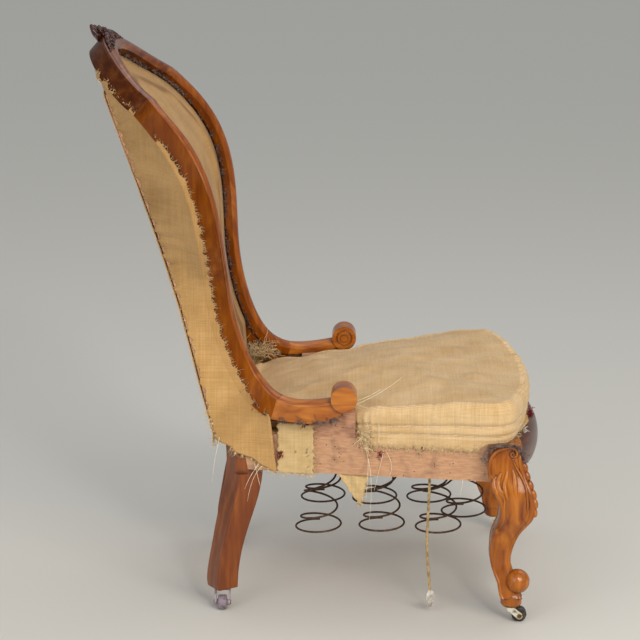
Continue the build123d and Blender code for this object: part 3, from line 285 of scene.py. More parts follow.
@dataclass(frozen=True)
class Jute(Finish):
    """Hessian: plain-woven jute, dusty and sun-tanned, with dark gaps between uneven threads.

    The weave is drawn coarser than the real one, which would be too fine to show.
    """

    thread: str
    slub: str
    gap: str = "#7A5A32"
    stain: str = "#80592E"
    pitch: float = 2.3  # mm from thread to thread
    wander: float = 100 / 7  # mm along which a thread strays
    stray: float = 1.1
    dip: float = 0.28  # how much lower the thread below lies, as a share of the height
    streak: tuple = (100 / 42, 1000 / 9)  # mm across and along a lighter or darker thread
    streak_share: float = 0.45
    dust: float = 62.5  # mm across a cloud of dust
    tones: tuple = (0.65, 1.25)  # of streaks and dust together, from the dark thread to the light one
    gaps: tuple = (0.1, 0.6)  # of the height, from a gap to a full thread
    gap_least: float = 0.36  # share of the thread's tone that a gap keeps
    relief: float = 0.4

    def surface(self, tree: Tree) -> dict:
        """Height is the higher of warp and weft, which take turns on top in a checker.

        Args:
            tree: The material's node tree.

        Returns:
            The surface shader's sockets.
        """
        cloth = put(tree, "UVMap", uv_map=CLOTH_MAP)
        noise = {"Vector": cloth, "Scale": per_metre(self.wander), "Detail": 2.0}
        wander = put(tree, "TexNoise", noise, "Color")
        shift = {0: wander, 1: (self.stray * MM,) * 3, 2: cloth}
        spot = put(tree, "VectorMath", shift, operation="MULTIPLY_ADD")
        waves = []
        for part in put(tree, "SeparateXYZ", {0: spot}).node.outputs[:2]:
            turn = put(tree, "Math", {0: part, 1: math.pi * per_metre(self.pitch)}, operation="MULTIPLY")
            waves.append(put(tree, "Math", {0: turn}, operation="SINE"))
        squares = put(tree, "Math", {0: waves[0], 1: waves[1]}, operation="MULTIPLY")
        checker = put(tree, "Math", {0: squares}, operation="SIGN")
        raised = []
        for wave, dip in zip(waves, (self.dip, -self.dip)):
            lift = put(tree, "Math", {0: checker, 1: dip, 2: 1 - self.dip}, operation="MULTIPLY_ADD")
            rod = put(tree, "Math", {0: wave}, operation="ABSOLUTE")
            raised.append(put(tree, "Math", {0: rod, 1: lift}, operation="MULTIPLY"))
        height = put(tree, "Math", {0: raised[0], 1: raised[1]}, operation="MAXIMUM")
        # single threads are lighter or darker along their whole length
        fine, long = (per_metre(size) for size in self.streak)
        streaks = []
        for scale in ((fine, long, 1.0), (long, fine, 1.0)):
            drawn = put(tree, "Mapping", {"Vector": cloth, "Scale": scale})
            streaks.append(put(tree, "TexNoise", {"Vector": drawn, "Scale": 1.0}))
        mixed = put(tree, "Math", {0: streaks[0], 1: streaks[1]}, operation="ADD")
        cloud = {"Scale": per_metre(self.dust), "Detail": 9.0, "Roughness": 0.66}
        dust = put(tree, "TexNoise", {"Vector": cloth, **cloud})
        both = put(tree, "Math", {0: mixed, 1: self.streak_share, 2: dust}, operation="MULTIPLY_ADD")
        least, most = self.tones
        light = put(tree, "MapRange", {0: both, 1: least, 2: most, 3: 0.0, 4: 1.0})
        tone = put(tree, "Mix", {0: light, 6: linear(self.slub), 7: linear(self.thread)}, 2, data_type="RGBA")
        least, most = self.gaps
        filled = put(tree, "MapRange", {0: height, 1: least, 2: most, 3: self.gap_least, 4: 1.0})
        woven = put(tree, "Mix", {0: filled, 6: linear(self.gap), 7: tone}, 2, data_type="RGBA")
        dirt = put(tree, "Attribute", out="Fac", attribute_name=STAIN)
        return {
            "Base Color": put(tree, "Mix", {0: dirt, 6: woven, 7: linear(self.stain)}, 2, data_type="RGBA"),
            "Roughness": 0.9,
            "Specular IOR Level": 0.15,
            "Sheen Weight": 0.12,
            "Normal": put(tree, "Bump", {"Height": height, "Strength": 0.45, "Distance": self.relief * MM}),
        }


@dataclass(frozen=True)
class Fibre(Finish):
    """Loose fibre, spun or torn: dull, of one colour that wavers from hair to hair."""

    dark: str
    light: str
    blotch: float = 6.25

    def surface(self, tree: Tree) -> dict:
        """Blotches of a few millimetres change the tone from thread to thread.

        Args:
            tree: The material's node tree.

        Returns:
            The surface shader's sockets.
        """
        place = put(tree, "TexCoord", out="Object")
        blotch = put(tree, "TexNoise", {"Vector": place, "Scale": per_metre(self.blotch), "Detail": 2.0})
        tone = put(tree, "ValToRGB", {0: blotch}, stops=((0.35, self.dark), (0.62, self.light)))
        return {"Base Color": tone, "Roughness": 0.92, "Specular IOR Level": 0.15}


@dataclass(frozen=True)
class WornMetal(Finish):
    """Metal that was coated once: paint, lacquer or bluing, with bare or rusted spots showing through."""

    coat: str
    spot: str
    roughness: float
    metallic: float = 0.0
    spot_metallic: float = 0.4
    spot_size: float = 6.0
    spot_share: float = 0.4
    blur: float = 0.1  # half of the share over which a spot ends
    relief: float = 0.3

    def surface(self, tree: Tree) -> dict:
        """Soft-edged spots mix the coat with what lies under it.

        Args:
            tree: The material's node tree.

        Returns:
            The surface shader's sockets.
        """
        place = put(tree, "TexCoord", out="Object")
        cloud = put(tree, "TexNoise", {"Vector": place, "Scale": per_metre(self.spot_size), "Detail": 6.0})
        limit = 1 - self.spot_share
        share = put(tree, "MapRange", {0: cloud, 1: limit - self.blur, 2: limit + self.blur, 3: 0.0, 4: 1.0})
        colours = {6: linear(self.coat), 7: linear(self.spot)}
        metals = {1: 0.0, 2: 1.0, 3: self.metallic, 4: self.spot_metallic}
        return {
            "Base Color": put(tree, "Mix", {0: share, **colours}, 2, data_type="RGBA"),
            "Metallic": put(tree, "MapRange", {0: share, **metals}),
            "Roughness": self.roughness,
            "Normal": put(tree, "Bump", {"Height": cloud, "Strength": 0.2, "Distance": self.relief * MM}),
        }


@dataclass(frozen=True)
class PaintedFloor(Finish):
    """Seamless studio floor, matt painted."""

    colour: str = "#D4D2CC"

    def surface(self, tree: Tree) -> dict:
        """One even tone with no gloss."""
        return {"Base Color": linear(self.colour), "Roughness": 0.9, "Specular IOR Level": 0.1}


UPRIGHT_WOOD = PolishedMahogany("mahogany_upright", "#5E2A0C", "#783A10", "#925018")
# the front rail's dark tones are partly its dark stain and partly painted shade
ACROSS_WOOD = PolishedMahogany("mahogany_across", "#2C0F05", "#4C1E08", "#703410", Grain.ACROSS, coat=0.25)
FORWARD_WOOD = PolishedMahogany("mahogany_forward", "#7A3A0C", "#A65C16", "#C47A26", Grain.FORWARD)
# the stile's flat sides carry painted shade
STILE_WOOD = PolishedMahogany(
    "mahogany_stile", "#743606", "#904A0A", "#AE6214", coat=0.35, gloss=0.25, roughness=0.24, side_shade=0.5
)
CARVED_WOOD = PolishedMahogany("mahogany_carved", "#200A04", "#3A1406", "#62280C", roughness=0.24)
# the crest's flat sides carry painted shade
CREST_WOOD = PolishedMahogany(
    "mahogany_crest", "#4A2008", "#74380C", "#A05C18", Grain.ACROSS, coat=0.5, side_shade=0.68
)
LEG_WOOD = PolishedMahogany("mahogany_leg", "#6E3008", "#9E560E", "#C2741A", roughness=0.25)
RAIL_BEECH = BareBeech("bare_beech_rail")
# darker copy of the bare beech for the blocks under the arms: painted shade of the arm above
SHADED_BEECH = BareBeech("shaded_beech_block", dark="#9C7054", light="#BE9072")
POST_BEECH = BareBeech("bare_beech_post", Grain.UPRIGHT)
PANEL_JUTE = Jute("hessian_panel", "#D8AE74", "#B48A50", "#6A4A24")
PAD_JUTE = Jute("hessian_pad", "#EED2A6", "#C8A26A", "#80602F")
PATCH_JUTE = Jute("hessian_patch", "#E2C796", "#C6A56C")
JUTE_THREAD = Fibre("jute_thread", "#C2A26C", "#ECD4A8")
STITCH_THREAD = Fibre("stitch_thread", "#D6C6A4", "#F4EAD4")
PALE_THREAD = Fibre("pale_jute_thread", "#D2B684", "#F0DCB4")
COTTON = Fibre("cotton_cord", "#8E7850", "#C6AC7E")
GREY_FLUFF = Fibre("gimp_remnant", "#4A3B38", "#93817A")
RED_VELVET = Fibre("red_velvet", "#4A0F18", "#8C2530")
WHITE_CHIP = Fibre("white_chip", "#C4BEB4", "#F0ECE4")
SPRING_STEEL = WornMetal("rusted_spring_steel", "#4C3A2E", "#7A5238", 0.6, metallic=0.5, spot_metallic=0.1)
BLUED_STEEL = WornMetal("blued_steel", "#23252C", "#4A3325", 0.45, metallic=0.8)
BRASS = WornMetal("caster_brass", "#8A6A34", "#4A3A22", 0.4, metallic=1.0, spot_metallic=0.8)
WHITE_METAL = WornMetal("white_caster_metal", "#CFCBBB", "#77694F", 0.38)
DARK_WHEEL = WornMetal("dark_caster_wheel", "#2C2723", "#5A5148", 0.5, spot_metallic=0.0)
LILAC_METAL = WornMetal("lilac_caster_metal", "#A2949C", "#6A5A5C", 0.42)
LILAC_WHEEL = WornMetal("lilac_caster_wheel", "#8A7C86", "#5A4C50", 0.5, spot_metallic=0.0)


@dataclass
class Patch:
    """Part of a mesh: its points, its faces, and each face corner's place in the cloth, all in metres."""

    points: Array
    quads: Array
    quad_map: Array
    tris: Array = field(default_factory=lambda: np.zeros((0, 3), int))
    tri_map: Array = field(default_factory=lambda: np.zeros((0, 3, 2)))
    stain: Array | None = None

    def area(self) -> float:
        """Area of the quads: half of the cross product of each one's diagonals."""
        a, b, c, d = (self.points[self.quads[:, i]] for i in range(4))
        return float(np.linalg.norm(np.cross(c - a, d - b), axis=1).sum() / 2)


def grid(points: Array, cloth: Array | None = None, ring: bool = False) -> Patch:
    """Quads over rows and columns of points.

    Args:
        points: (rows, columns, 3). Faces point to columns x rows.
        cloth: (rows, columns, 2) places in the cloth; X and Y if left out.
        ring: The last column joins the first.

    Returns:
        The patch.
    """
    rows, columns = points.shape[:2]
    index = np.arange(rows * columns).reshape(rows, columns)
    if ring:
        index = np.concatenate([index, index[:, :1]], axis=1)
    corners = [index[:-1, :-1], index[:-1, 1:], index[1:, 1:], index[1:, :-1]]
    quads = np.stack(corners, axis=-1).reshape(-1, 4)
    cloth = points[..., :2] if cloth is None else cloth
    return Patch(points.reshape(-1, 3), quads, cloth.reshape(-1, 2)[quads])


def merge(patches: list[Patch]) -> Patch:
    """Makes the patches one.

    Args:
        patches: The patches, whose stains are left out.

    Returns:
        The patch.
    """
    starts = np.cumsum([0] + [len(p.points) for p in patches[:-1]])
    return Patch(
        np.concatenate([p.points for p in patches]),
        np.concatenate([p.quads + s for p, s in zip(patches, starts)]),
        np.concatenate([p.quad_map for p in patches]),
        np.concatenate([p.tris + s for p, s in zip(patches, starts)]),
        np.concatenate([p.tri_map for p in patches]),
    )


def link(name: str, data: bpy.types.ID) -> bpy.types.Object:
    """Puts an object into the scene.

    Args:
        name: The object's name.
        data: Its mesh, curve, light or camera.

    Returns:
        The object.
    """
    obj = bpy.data.objects.new(name, data)
    bpy.context.scene.collection.objects.link(obj)
    return obj


def place(
    name: str, patch: Patch, finish: Finish, slot: str = HESSIAN, thickness: float = 0.0
) -> bpy.types.Object:
    """Makes the patch an object that rides on the frame.

    Args:
        name: The object's name.
        patch: The mesh.
        finish: Its finish.
        slot: The record's material slot; not used.
        thickness: Cloth thickness in mm, put behind the faces.

    Returns:
        The object.
    """
    mesh = bpy.data.meshes.new(name)
    mesh.from_pydata(patch.points.tolist(), [], patch.quads.tolist() + patch.tris.tolist())
    mesh.polygons.foreach_set("use_smooth", np.ones(len(mesh.polygons), bool))
    places = np.concatenate([patch.quad_map.reshape(-1, 2), patch.tri_map.reshape(-1, 2)])
    mesh.uv_layers.new(name=CLOTH_MAP).data.foreach_set("uv", places.ravel())
    if patch.stain is not None:
        mesh.attributes.new(STAIN, "FLOAT", "POINT").data.foreach_set("value", patch.stain.ravel())
    mesh.materials.append(finish.material())
    obj = link(name, mesh)
    if thickness:
        body = obj.modifiers.new("cloth", "SOLIDIFY")
        body.thickness = thickness * MM
        body.offset = -1.0
    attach(obj, "frame")
    log.info("%s: %d faces", name, len(mesh.polygons))
    return obj


def unit(vectors: Array) -> Array:
    """The vectors at length one."""
    return vectors / np.maximum(np.linalg.norm(vectors, axis=-1, keepdims=True), 1e-9)


def rods(
    paths: Array, radius: float | Array, sides: int = 4, up: tuple = (0.0, 0.0, 1.0), flat: float = 1.0
) -> Patch:
    """Round or flattened rods along many paths at once, closed at both ends.

    Each ring lies on an ellipse about the path, of half axes radius and flat x radius.

    Args:
        paths: (rods, points, 3) in metres.
        radius: A number, or one for each point, or for each rod and point, in metres.
        sides: Corners of a ring.
        up: A direction that no path runs along; the flattened one.
        flat: Share of the radius towards up.

    Returns:
        The patch.
    """
    count, steps = paths.shape[:2]
    along = unit(np.gradient(paths, axis=1))
    beside = unit(np.cross(along, np.broadcast_to(np.asarray(up, float), along.shape)))
    above = np.cross(beside, along)
    radius = np.broadcast_to(radius, (count, steps))[..., None, None]
    turn = TURN * np.arange(sides) / sides
    ring = np.cos(turn)[:, None] * beside[:, :, None] + flat * np.sin(turn)[:, None] * above[:, :, None]
    points = (paths[:, :, None] + radius * ring).reshape(-1, 3)
    index = np.arange(count * steps * sides).reshape(count, steps, sides)
    beyond = np.roll(index, -1, axis=2)
    corners = [index[:, :-1], index[:, 1:], beyond[:, 1:], beyond[:, :-1]]
    quads = np.stack(corners, axis=-1).reshape(-1, 4)
    inner = range(1, sides - 1)
    fans = [index[:, 0, [0, i, i + 1]] for i in inner] + [index[:, -1, [0, i + 1, i]] for i in inner]
    tris = np.concatenate(fans)
    return Patch(points, quads, points[quads][..., :2], tris, points[tris][..., :2])


def scatter(rng: np.random.Generator, count: int, spread: tuple | float, about: tuple | float = 0.0) -> Array:
    """Random spots or ways, normal on each axis.

    Args:
        rng: The random source.
        count: How many.
        spread: How far they lie from the middle, for all axes or each.
        about: The middle.

    Returns:
        (count, 3).
    """
    return rng.normal(size=(count, 3)) * spread + about


@dataclass(frozen=True)
class Fringe:
    """Loose threads of one kind, with ways, in metres, that differ at random from a mean one."""

    count: int
    spread: tuple | float
    way: tuple | float = 0.0
    curl: float = 0.4  # largest stray as a share of the length
    thickness: float = 0.5
    steps: int = 5  # points of a thread

    def ways(self, rng: np.random.Generator) -> Array:
        """Each thread's length and direction, in metres."""
        return scatter(rng, self.count, self.spread, self.way)

    def grow(self, starts: Array, ways: Array, seed: int) -> Patch:
        """Each thread leaves its start along its way, and strays from it by a bend that grows as the square.

        Args:
            starts: (threads, 3) in metres.
            ways: (threads, 3) in metres.
            seed: For the random bends.

        Returns:
            The patch.
        """
        rng = np.random.default_rng(seed)
        share = np.linspace(0, 1, self.steps)[None, :, None]
        stray = np.linalg.norm(ways, axis=1, keepdims=True)
        bend, wave = (rng.normal(size=starts.shape) * stray * most for most in (self.curl, self.curl / 2))
        paths = starts[:, None] + ways[:, None] * share + bend[:, None] * share**2
        paths = paths + wave[:, None] * np.sin(np.pi * share)
        radius = self.thickness * MM / 2 * (1 - 0.5 * share[..., 0])
        return rods(paths, radius, up=(0.37, 0.21, 0.9))


def ripple(spots: Array, size: float, seed: int, waves: int = 14) -> Array:
    """Smooth random heights of about +-1: a sum of sine waves in random directions.

    Args:
        spots: (..., axes), in any measure.
        size: About the length of a wave, in the same measure.
        seed: For the directions, lengths and starts.
        waves: How many.

    Returns:
        A height for each spot.
    """
    rng = np.random.default_rng(seed)
    ways = unit(rng.normal(size=(waves, spots.shape[-1]))) * rng.uniform(0.7, 1.5, (waves, 1)) * TURN / size
    heights = np.sin(spots @ ways.T + rng.uniform(0, TURN, waves)).sum(axis=-1)
    return heights * math.sqrt(2 / waves) / RIPPLE_PEAK


def blots(points: Array, size: float, seed: int, least: float, most: float) -> Array:
    """Stains where a ripple of a size in metres rises above a least height, up to `most`."""
    return np.clip(ripple(points, size, seed) - least, 0, 1) * most


def bell(distance: Array, width: float) -> Array:
    """One at no distance, falling to 1 / e at the width."""
    return np.exp(-((distance / width) ** 2))


def cubic(stations: Array, values: Array, at: Array) -> Array:
    """Natural cubic spline: through the values at the stations, with no bend at its two ends.

    Args:
        stations: (n,), rising.
        values: (n, axes).
        at: (m,) places between the stations.

    Returns:
        (m, axes).
    """
    gap = np.diff(stations)
    count = len(stations)
    system = np.eye(count)
    inner = np.arange(1, count - 1)
    system[inner, inner - 1] = gap[:-1] / 6
    system[inner, inner] = (gap[:-1] + gap[1:]) / 3
    system[inner, inner + 1] = gap[1:] / 6
    slope = np.diff(values, axis=0) / gap[:, None]
    bends = np.zeros_like(values)
    bends[1:-1] = np.diff(slope, axis=0)
    bends = np.linalg.solve(system, bends)
    i = np.clip(np.searchsorted(stations, at, side="right") - 1, 0, count - 2)
    b = ((at - stations[i]) / gap[i])[:, None]
    a = 1 - b
    curve = ((a**3 - a) * bends[i] + (b**3 - b) * bends[i + 1]) * gap[i][:, None] ** 2 / 6
    return a * values[i] + b * values[i + 1] + curve


def chord(points: Array) -> Array:
    """Distance of each point along the line through them."""
    return np.concatenate([[0.0], np.cumsum(np.linalg.norm(np.diff(points, axis=0), axis=1))])


def spread(points: Array, count: int) -> Array:
    """Lays points at even distances along a line.

    Args:
        points: (n, axes) on the line.
        count: How many to lay.

    Returns:
        (count, axes).
    """
    line = chord(points)
    at = np.linspace(0, line[-1], count)
    return np.stack([np.interp(at, line, points[:, i]) for i in range(points.shape[1])], axis=1)


@dataclass
class BackLine:
    """Crown line of the back, numbered from the middle of the crest (0) round a shoulder to the scroll (16).

    A station is its distance from the middle, distance back, height, and lean of the moulded face in degrees.
    """

    stations: tuple = (
        (0, 352, 980, 49), (86, 339, 967, 49), (147, 313, 941, 47), (196, 267, 904, 43), (227, 223, 856, 35),
        (246, 178, 780, 20), (246, 160, 715, 9), (225, 153, 664, 4), (190, 149, 615, 3), (170, 144, 562, 8),
        (163, 133, 508, 14), (158, 113, 452, 25), (170, 84, 408, 50), (188, 56, 390, 78), (201, 16, 386, 90),
        (207, -24, 391, 97), (209, -46, 395, 100),
    )
    step: float = 0.5  # mm to each side for the line's direction
    whole: Array = field(init=False)  # the stations of both halves
    line: Array = field(init=False)  # their distances along the crown

    def __post_init__(self) -> None:
        """Joins the two halves into one line, so that the crest has no corner in its middle."""
        half = np.array(self.stations, float)
        self.whole = np.concatenate([half[:0:-1] * (-1, 1, 1, 1), half])
        self.line = chord(self.whole[:, :3])

    def spot(self, at: Array | list, across: float, ahead: float | Array, side: Side) -> Array:
        """Places on the section of the frame.

        Args:
            at: Station numbers, whole or not.
            across: mm outwards from the crown.
            ahead: mm in front of the crown's tangent; negative is behind the moulded face.
            side: Left or right.

        Returns:
            (n, 3) in metres.
        """
        at = np.asarray(at, float)
        last = len(self.stations) - 1
        where = np.interp(at, np.arange(last + 1), self.line[last:])
        value = cubic(self.line, self.whole, where)
        steps = (self.step, -self.step)
        after, before = (cubic(self.line, self.whole, where + step)[:, :3] for step in steps)
        run = unit(after - before)
        lean = np.radians(value[:, 3])
        front = np.stack([np.zeros_like(lean), -np.cos(lean), np.sin(lean)], axis=1)
        out = unit(np.cross(front, run))
        front = np.cross(run, out)
        spots = value[:, :3] + out * np.broadcast_to(across, at.shape)[:, None]
        spots = spots + front * np.broadcast_to(ahead, at.shape)[:, None]
        return spots * (side.value, 1, 1) * MM


@dataclass
class SeatFrame:
    """Sizes of the seat rails and back posts that the soft pieces lie on."""

    half_front: float = 245.0
    front_y: float = -319.0
    half_rear: float = 175.0
    rear_y: float = 124.0
    posts: tuple = ((160, 156, 318), (160, 176, 394), (157, 207, 520), (151, 262, 699), (142.7, 335, 906))
    post_half_width: float = 16.0
    post_half_depth: float = 19.0

    def rail_half(self, y: Array) -> Array:
        """Distance of a side rail's outer face from the middle at y, in mm."""
        share = (y - self.front_y) / (self.rear_y - self.front_y)
        return self.half_front + (self.half_rear - self.half_front) * share

    def post(self, z: Array) -> Array:
        """Middle of the left back post.

        Args:
            z: (n,) heights in mm.

        Returns:
            (n, 3) in mm; past the post's ends, the end's place at that height.
        """
        line = np.array(self.posts, float)
        spots = cubic(line[:, 2], line, np.clip(z, line[0, 2], line[-1, 2]))
        return np.concatenate([spots[:, :2], z[:, None]], axis=1)


@dataclass
class InsideBack:
    """Hessian stretched inside the back frame, held in the rebate, with the stuffing's old edge showing."""

    line: BackLine
    hold_across: float = -12.5
    hold_ahead: float = -25.0
    top: float = 0.12  # station
    waist: float = 11.0  # station
    foot: tuple = (138, 128, 352)
    edge_points: int = 120
    columns: int = 141
    rows: int = 131
    hollow: float = 9.0  # mm the cloth gives in its middle
    give_reach: float = 110.0  # mm from the edge to where it gives most
    rib: float = 3.2  # mm the old stuffed edge stands proud
    rib_inset: float = 42.0
    rib_width: float = 9.0
    slack: float = 1.4  # mm of ripple
    slack_reach: float = 30.0
    dust: float = 0.26
    rib_stain: float = 0.85
    mark_width: float = 6.5  # mm of the brown line along the old edge
    mark_stray: float = 5.0
    torn_spot: tuple = (0.142, 0.108, 0.384)  # metres
    torn_spread: tuple = (0.008, 0.014, 0.007)  # metres
    torn: Fringe = Fringe(200, (0.006, 0.009, 0.006), (-0.004, -0.003, 0.002), 0.5, 0.8)

    def surface(self) -> Patch:
        """Rows straight across from stile to stile, as cloth bends one way; then hollow, rib and ripple.

        Returns:
            The sheet, stained along the rib.
        """
        at = np.linspace(self.waist, self.top, self.edge_points)
        held = self.line.spot(at, self.hold_across, self.hold_ahead, Side.LEFT)
        left = spread(np.concatenate([np.array([self.foot]) * MM, held]), self.rows)
        right = left * (-1, 1, 1)
        across = np.linspace(0, 1, self.columns)[None, :, None]
        points = right[:, None] + (left - right)[:, None] * across
        flat = np.stack([np.abs(points[..., 0]), points[..., 2]], axis=-1)
        gap = np.linalg.norm(flat[:, :, None] - left[:, ::2], axis=-1).min(axis=-1) / MM
        wave = ripple(points * (1, 0.3, 0.6), 0.085, 3) * np.clip(gap / self.slack_reach, 0, 1)
        give = np.clip(gap / self.give_reach, 0, 1)
        ridge = bell(gap - self.rib_inset, self.rib_width)
        points[..., 1] += (self.hollow * give * (2 - give) - self.rib * ridge + self.slack * wave) * MM
        run = chord(left[:, 1:])[:, None]
        patch = grid(points, np.stack(np.broadcast_arrays(points[..., 0], run), axis=-1))
        mark = bell(gap - self.rib_inset - self.mark_stray * wave, self.mark_width) * (0.7 + 0.5 * wave)
        patch.stain = np.clip(self.dust + self.rib_stain * mark + blots(points, 0.16, 8, 0.0, 0.12), 0, 0.9)
        return patch

    def dress(self) -> None:
        """Puts the sheet in place of its CAD solid, with torn threads at its foot."""
        patch = self.surface()
        rng = np.random.default_rng(5)
        starts = scatter(rng, self.torn.count, self.torn_spread, self.torn_spot)
        torn = place("torn_foot_fibre", self.torn.grow(starts, self.torn.ways(rng), 6), PALE_THREAD)
        obj = place("inside_back_sheet", patch, PANEL_JUTE, thickness=CLOTH)
        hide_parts("inside_back_hessian")
        patch.area()


@dataclass
class SidePanel:
    """Hessian on one side of the back: over the outer face of the stile, and round to the back post."""

    line: BackLine
    seat: SeatFrame
    side: Side
    first: float = 1.3  # station
    second: int = 2  # the first station with a rear edge on the post
    last: float = 13.0  # station
    tip_across: float = 14.0
    tip_ahead: float = -45.0
    face: float = 22.0  # mm from the crown line to the stile's outer face, with the cloth's stand-off
    depth: float = 42.6
    tucks: tuple = ((1.3, 1), (2, 3), (3, 4), (5, 8), (9, 11), (11.5, 12), (12.4, 7), (13, 3))
    heights: tuple = (900, 858, 805, 742, 690, 640, 580, 520, 460, 400, 306)
    foot: tuple = (185.2, 66, 247)
    stand_off: float = 1.4  # mm from the post's outer face
    short: float = 2.0  # mm that the cloth ends before the post's rear face
    rows: int = 150
    face_columns: int = 5
    panel_columns: int = 30
    sag: float = 2.5
    slack: float = 1.2  # mm of ripple
    high_stain: float = 0.2  # the panel's top is darker than its foot
    high: tuple = (0.45, 0.5)  # metres from the floor to where that starts, and over which it grows
    flange_stain: float = 0.2  # grime on the strip that is turned over the stile
    front_fringe: Fringe = Fringe(900, 0.0016, curl=0.35, thickness=0.42)
    front_reach: tuple = (0.0015, 0.005)  # metres
    rear_fringe: Fringe = Fringe(560, 0.002, curl=0.35, thickness=0.6)
    rear_reach: tuple = (0.002, 0.009)  # metres
    foot_threads: int = 260  # of the rear ones
    foot_rows: int = 22

    def edges(self) -> tuple[Array, Array, Array]:
        """Lays the panel's three lines from top to foot, the first and last ragged by ripples.

        Returns:
            The front edge, the fold at the frame's rear arris, and the rear edge, (rows, 3) in metres.
        """
        at = np.linspace(self.first, self.last, self.rows)
        on_post = (self.seat.post_half_width + self.stand_off, self.seat.post_half_depth - self.short, 0)
        tip = self.line.spot([self.first], self.tip_across, self.tip_ahead, Side.LEFT) / MM
        post = self.seat.post(np.array(self.heights, float))
        rear_line = np.concatenate([tip, post + on_post, [self.foot]])
        number = np.array([self.first, *range(self.second, self.second + len(rear_line) - 1)], float)
        rear = np.stack([np.interp(at, number, rear_line[:, i]) for i in range(3)], axis=1)
        fray = ripple(at[:, None], 0.42, 11 + self.side.value) * 2.0 + ripple(at[:, None], 0.13, 4) * 1.3
        rear[:, 1] += fray[::-1] * 1.3
        tuck = np.interp(at, *np.array(self.tucks, float).T)
        front = self.line.spot(at, self.face, -self.depth + tuck + fray, self.side)
        fold = self.line.spot(at, self.face, -self.depth, self.side)
        return front, fold, rear * (self.side.value, 1, 1) * MM

    def surface(self) -> Patch:
        """Straight from the front edge to the fold, and on to the rear edge with a little sag and ripple.

        Returns:
            The sheet, with grime on the turned strip and towards the top.
        """
        front, fold, rear = self.edges()
        flat = np.linspace(0, 1, self.face_columns)[None, :, None]
        wide = np.linspace(0, 1, self.panel_columns)[None, 1:, None]
        on_face = front[:, None] * (1 - flat) + fold[:, None] * flat
        panel = fold[:, None] * (1 - wide) + rear[:, None] * wide
        wave = ripple(panel * (0.2, 1, 0.5), 0.07, 21)
        edge = np.sin(np.pi * wide[..., 0]) * (1 - wide[..., 0])
        give = self.sag * edge - self.slack * wave * np.clip(edge * 2, 0, 1)
        panel[..., 0] -= self.side.value * MM * give
        points = np.concatenate([on_face, panel], axis=1)
        if self.side is Side.LEFT:
            points = points[::-1]
        patch = grid(points, points[..., 1:])
        grime = np.where(np.arange(points.shape[1]) < self.face_columns, self.flange_stain, 0.0)
        start, growth = self.high
        higher = np.clip((points[..., 2] - start) / growth, 0, 1) * self.high_stain
        patch.stain = blots(points, 0.12, 31, 0.5, 0.22) + grime + higher
        return patch

    def dress(self) -> None:
        """Puts the panel in place of its CAD solid, with frayed front and rear edges."""
        patch = self.surface()
        front, fold, rear = self.edges()
        rng = np.random.default_rng(40 + self.side.value)
        count = self.front_fringe.count
        pick = rng.integers(2, self.rows - 2, count)
        ahead = unit(front - fold)[pick] * rng.uniform(*self.front_reach, (count, 1))
        sheds = [self.front_fringe.grow(front[pick], ahead + self.front_fringe.ways(rng), 51)]
        count = self.rear_fringe.count
        last = self.rows - 1
        pick = np.concatenate(
            [
                rng.integers(2, last, count - self.foot_threads),
                rng.integers(self.rows - self.foot_rows, last, self.foot_threads),
            ]
        )
        back = unit(rear - fold)[pick] * rng.uniform(*self.rear_reach, (count, 1))
        sheds.append(self.rear_fringe.grow(rear[pick], back + self.rear_fringe.ways(rng), 52))
        tag = self.side.tag
        fray = place(f"side_fray_{tag}", merge(sheds), JUTE_THREAD)
        obj = place(f"side_sheet_{tag}", patch, PANEL_JUTE, thickness=CLOTH)
        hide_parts(f"side_hessian_{tag}")
        patch.area()


@dataclass
class OutsideBack:
    """Hessian across the outside of the back, tacked to the two posts."""

    seat: SeatFrame
    foot: float = 300.0
    shoulder: float = 908.0
    arch: float = 26.0
    beyond: float = 2.0  # mm past the posts' outer faces
    stand_off: float = 4.0  # mm behind the posts
    give: float = 3.0
    columns: int = 50
    rows: int = 90
    fringe: Fringe = Fringe(160, (0.003, 0.002, 0.003), (0.0, 0.0, -0.007), 0.3, 0.6)

    def surface(self) -> Patch:
        """Rows at even heights up to an arched top, set just behind the posts, with a ripple of a millimetre.

        Returns:
            The sheet, with a few stains.
        """
        across = np.linspace(-1, 1, self.columns)[None]
        top = self.shoulder + self.arch * (1 - across**2)
        z = self.foot + np.linspace(0, 1, self.rows)[:, None] * (top - self.foot)
        post = self.seat.post(z.ravel()).reshape(*z.shape, 3)
        x = -across * (post[..., 0] + self.seat.post_half_width + self.beyond)
        y = post[..., 1] + self.seat.post_half_depth + self.stand_off - self.give * (1 - across**2)
        y = y + ripple(np.stack([x, z], axis=-1), 90, 61) * (1 - across**4)
        points = np.stack([x, y, z], axis=-1) * MM
        patch = grid(points, points[..., ::2])
        patch.stain = blots(points, 0.12, 63, 0.6, 0.4)
        return patch

    def dress(self) -> None:
        """Puts the sheet in place of its CAD solid, with threads hanging from its foot."""
        patch = self.surface()
        rng = np.random.default_rng(9)
        low = patch.points[rng.integers(0, self.columns, self.fringe.count)]
        fray = place("outside_back_fray", self.fringe.grow(low, self.fringe.ways(rng), 71), JUTE_THREAD)
        obj = place("outside_back_sheet", patch, PANEL_JUTE, thickness=CLOTH)
        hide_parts("outside_back_hessian")


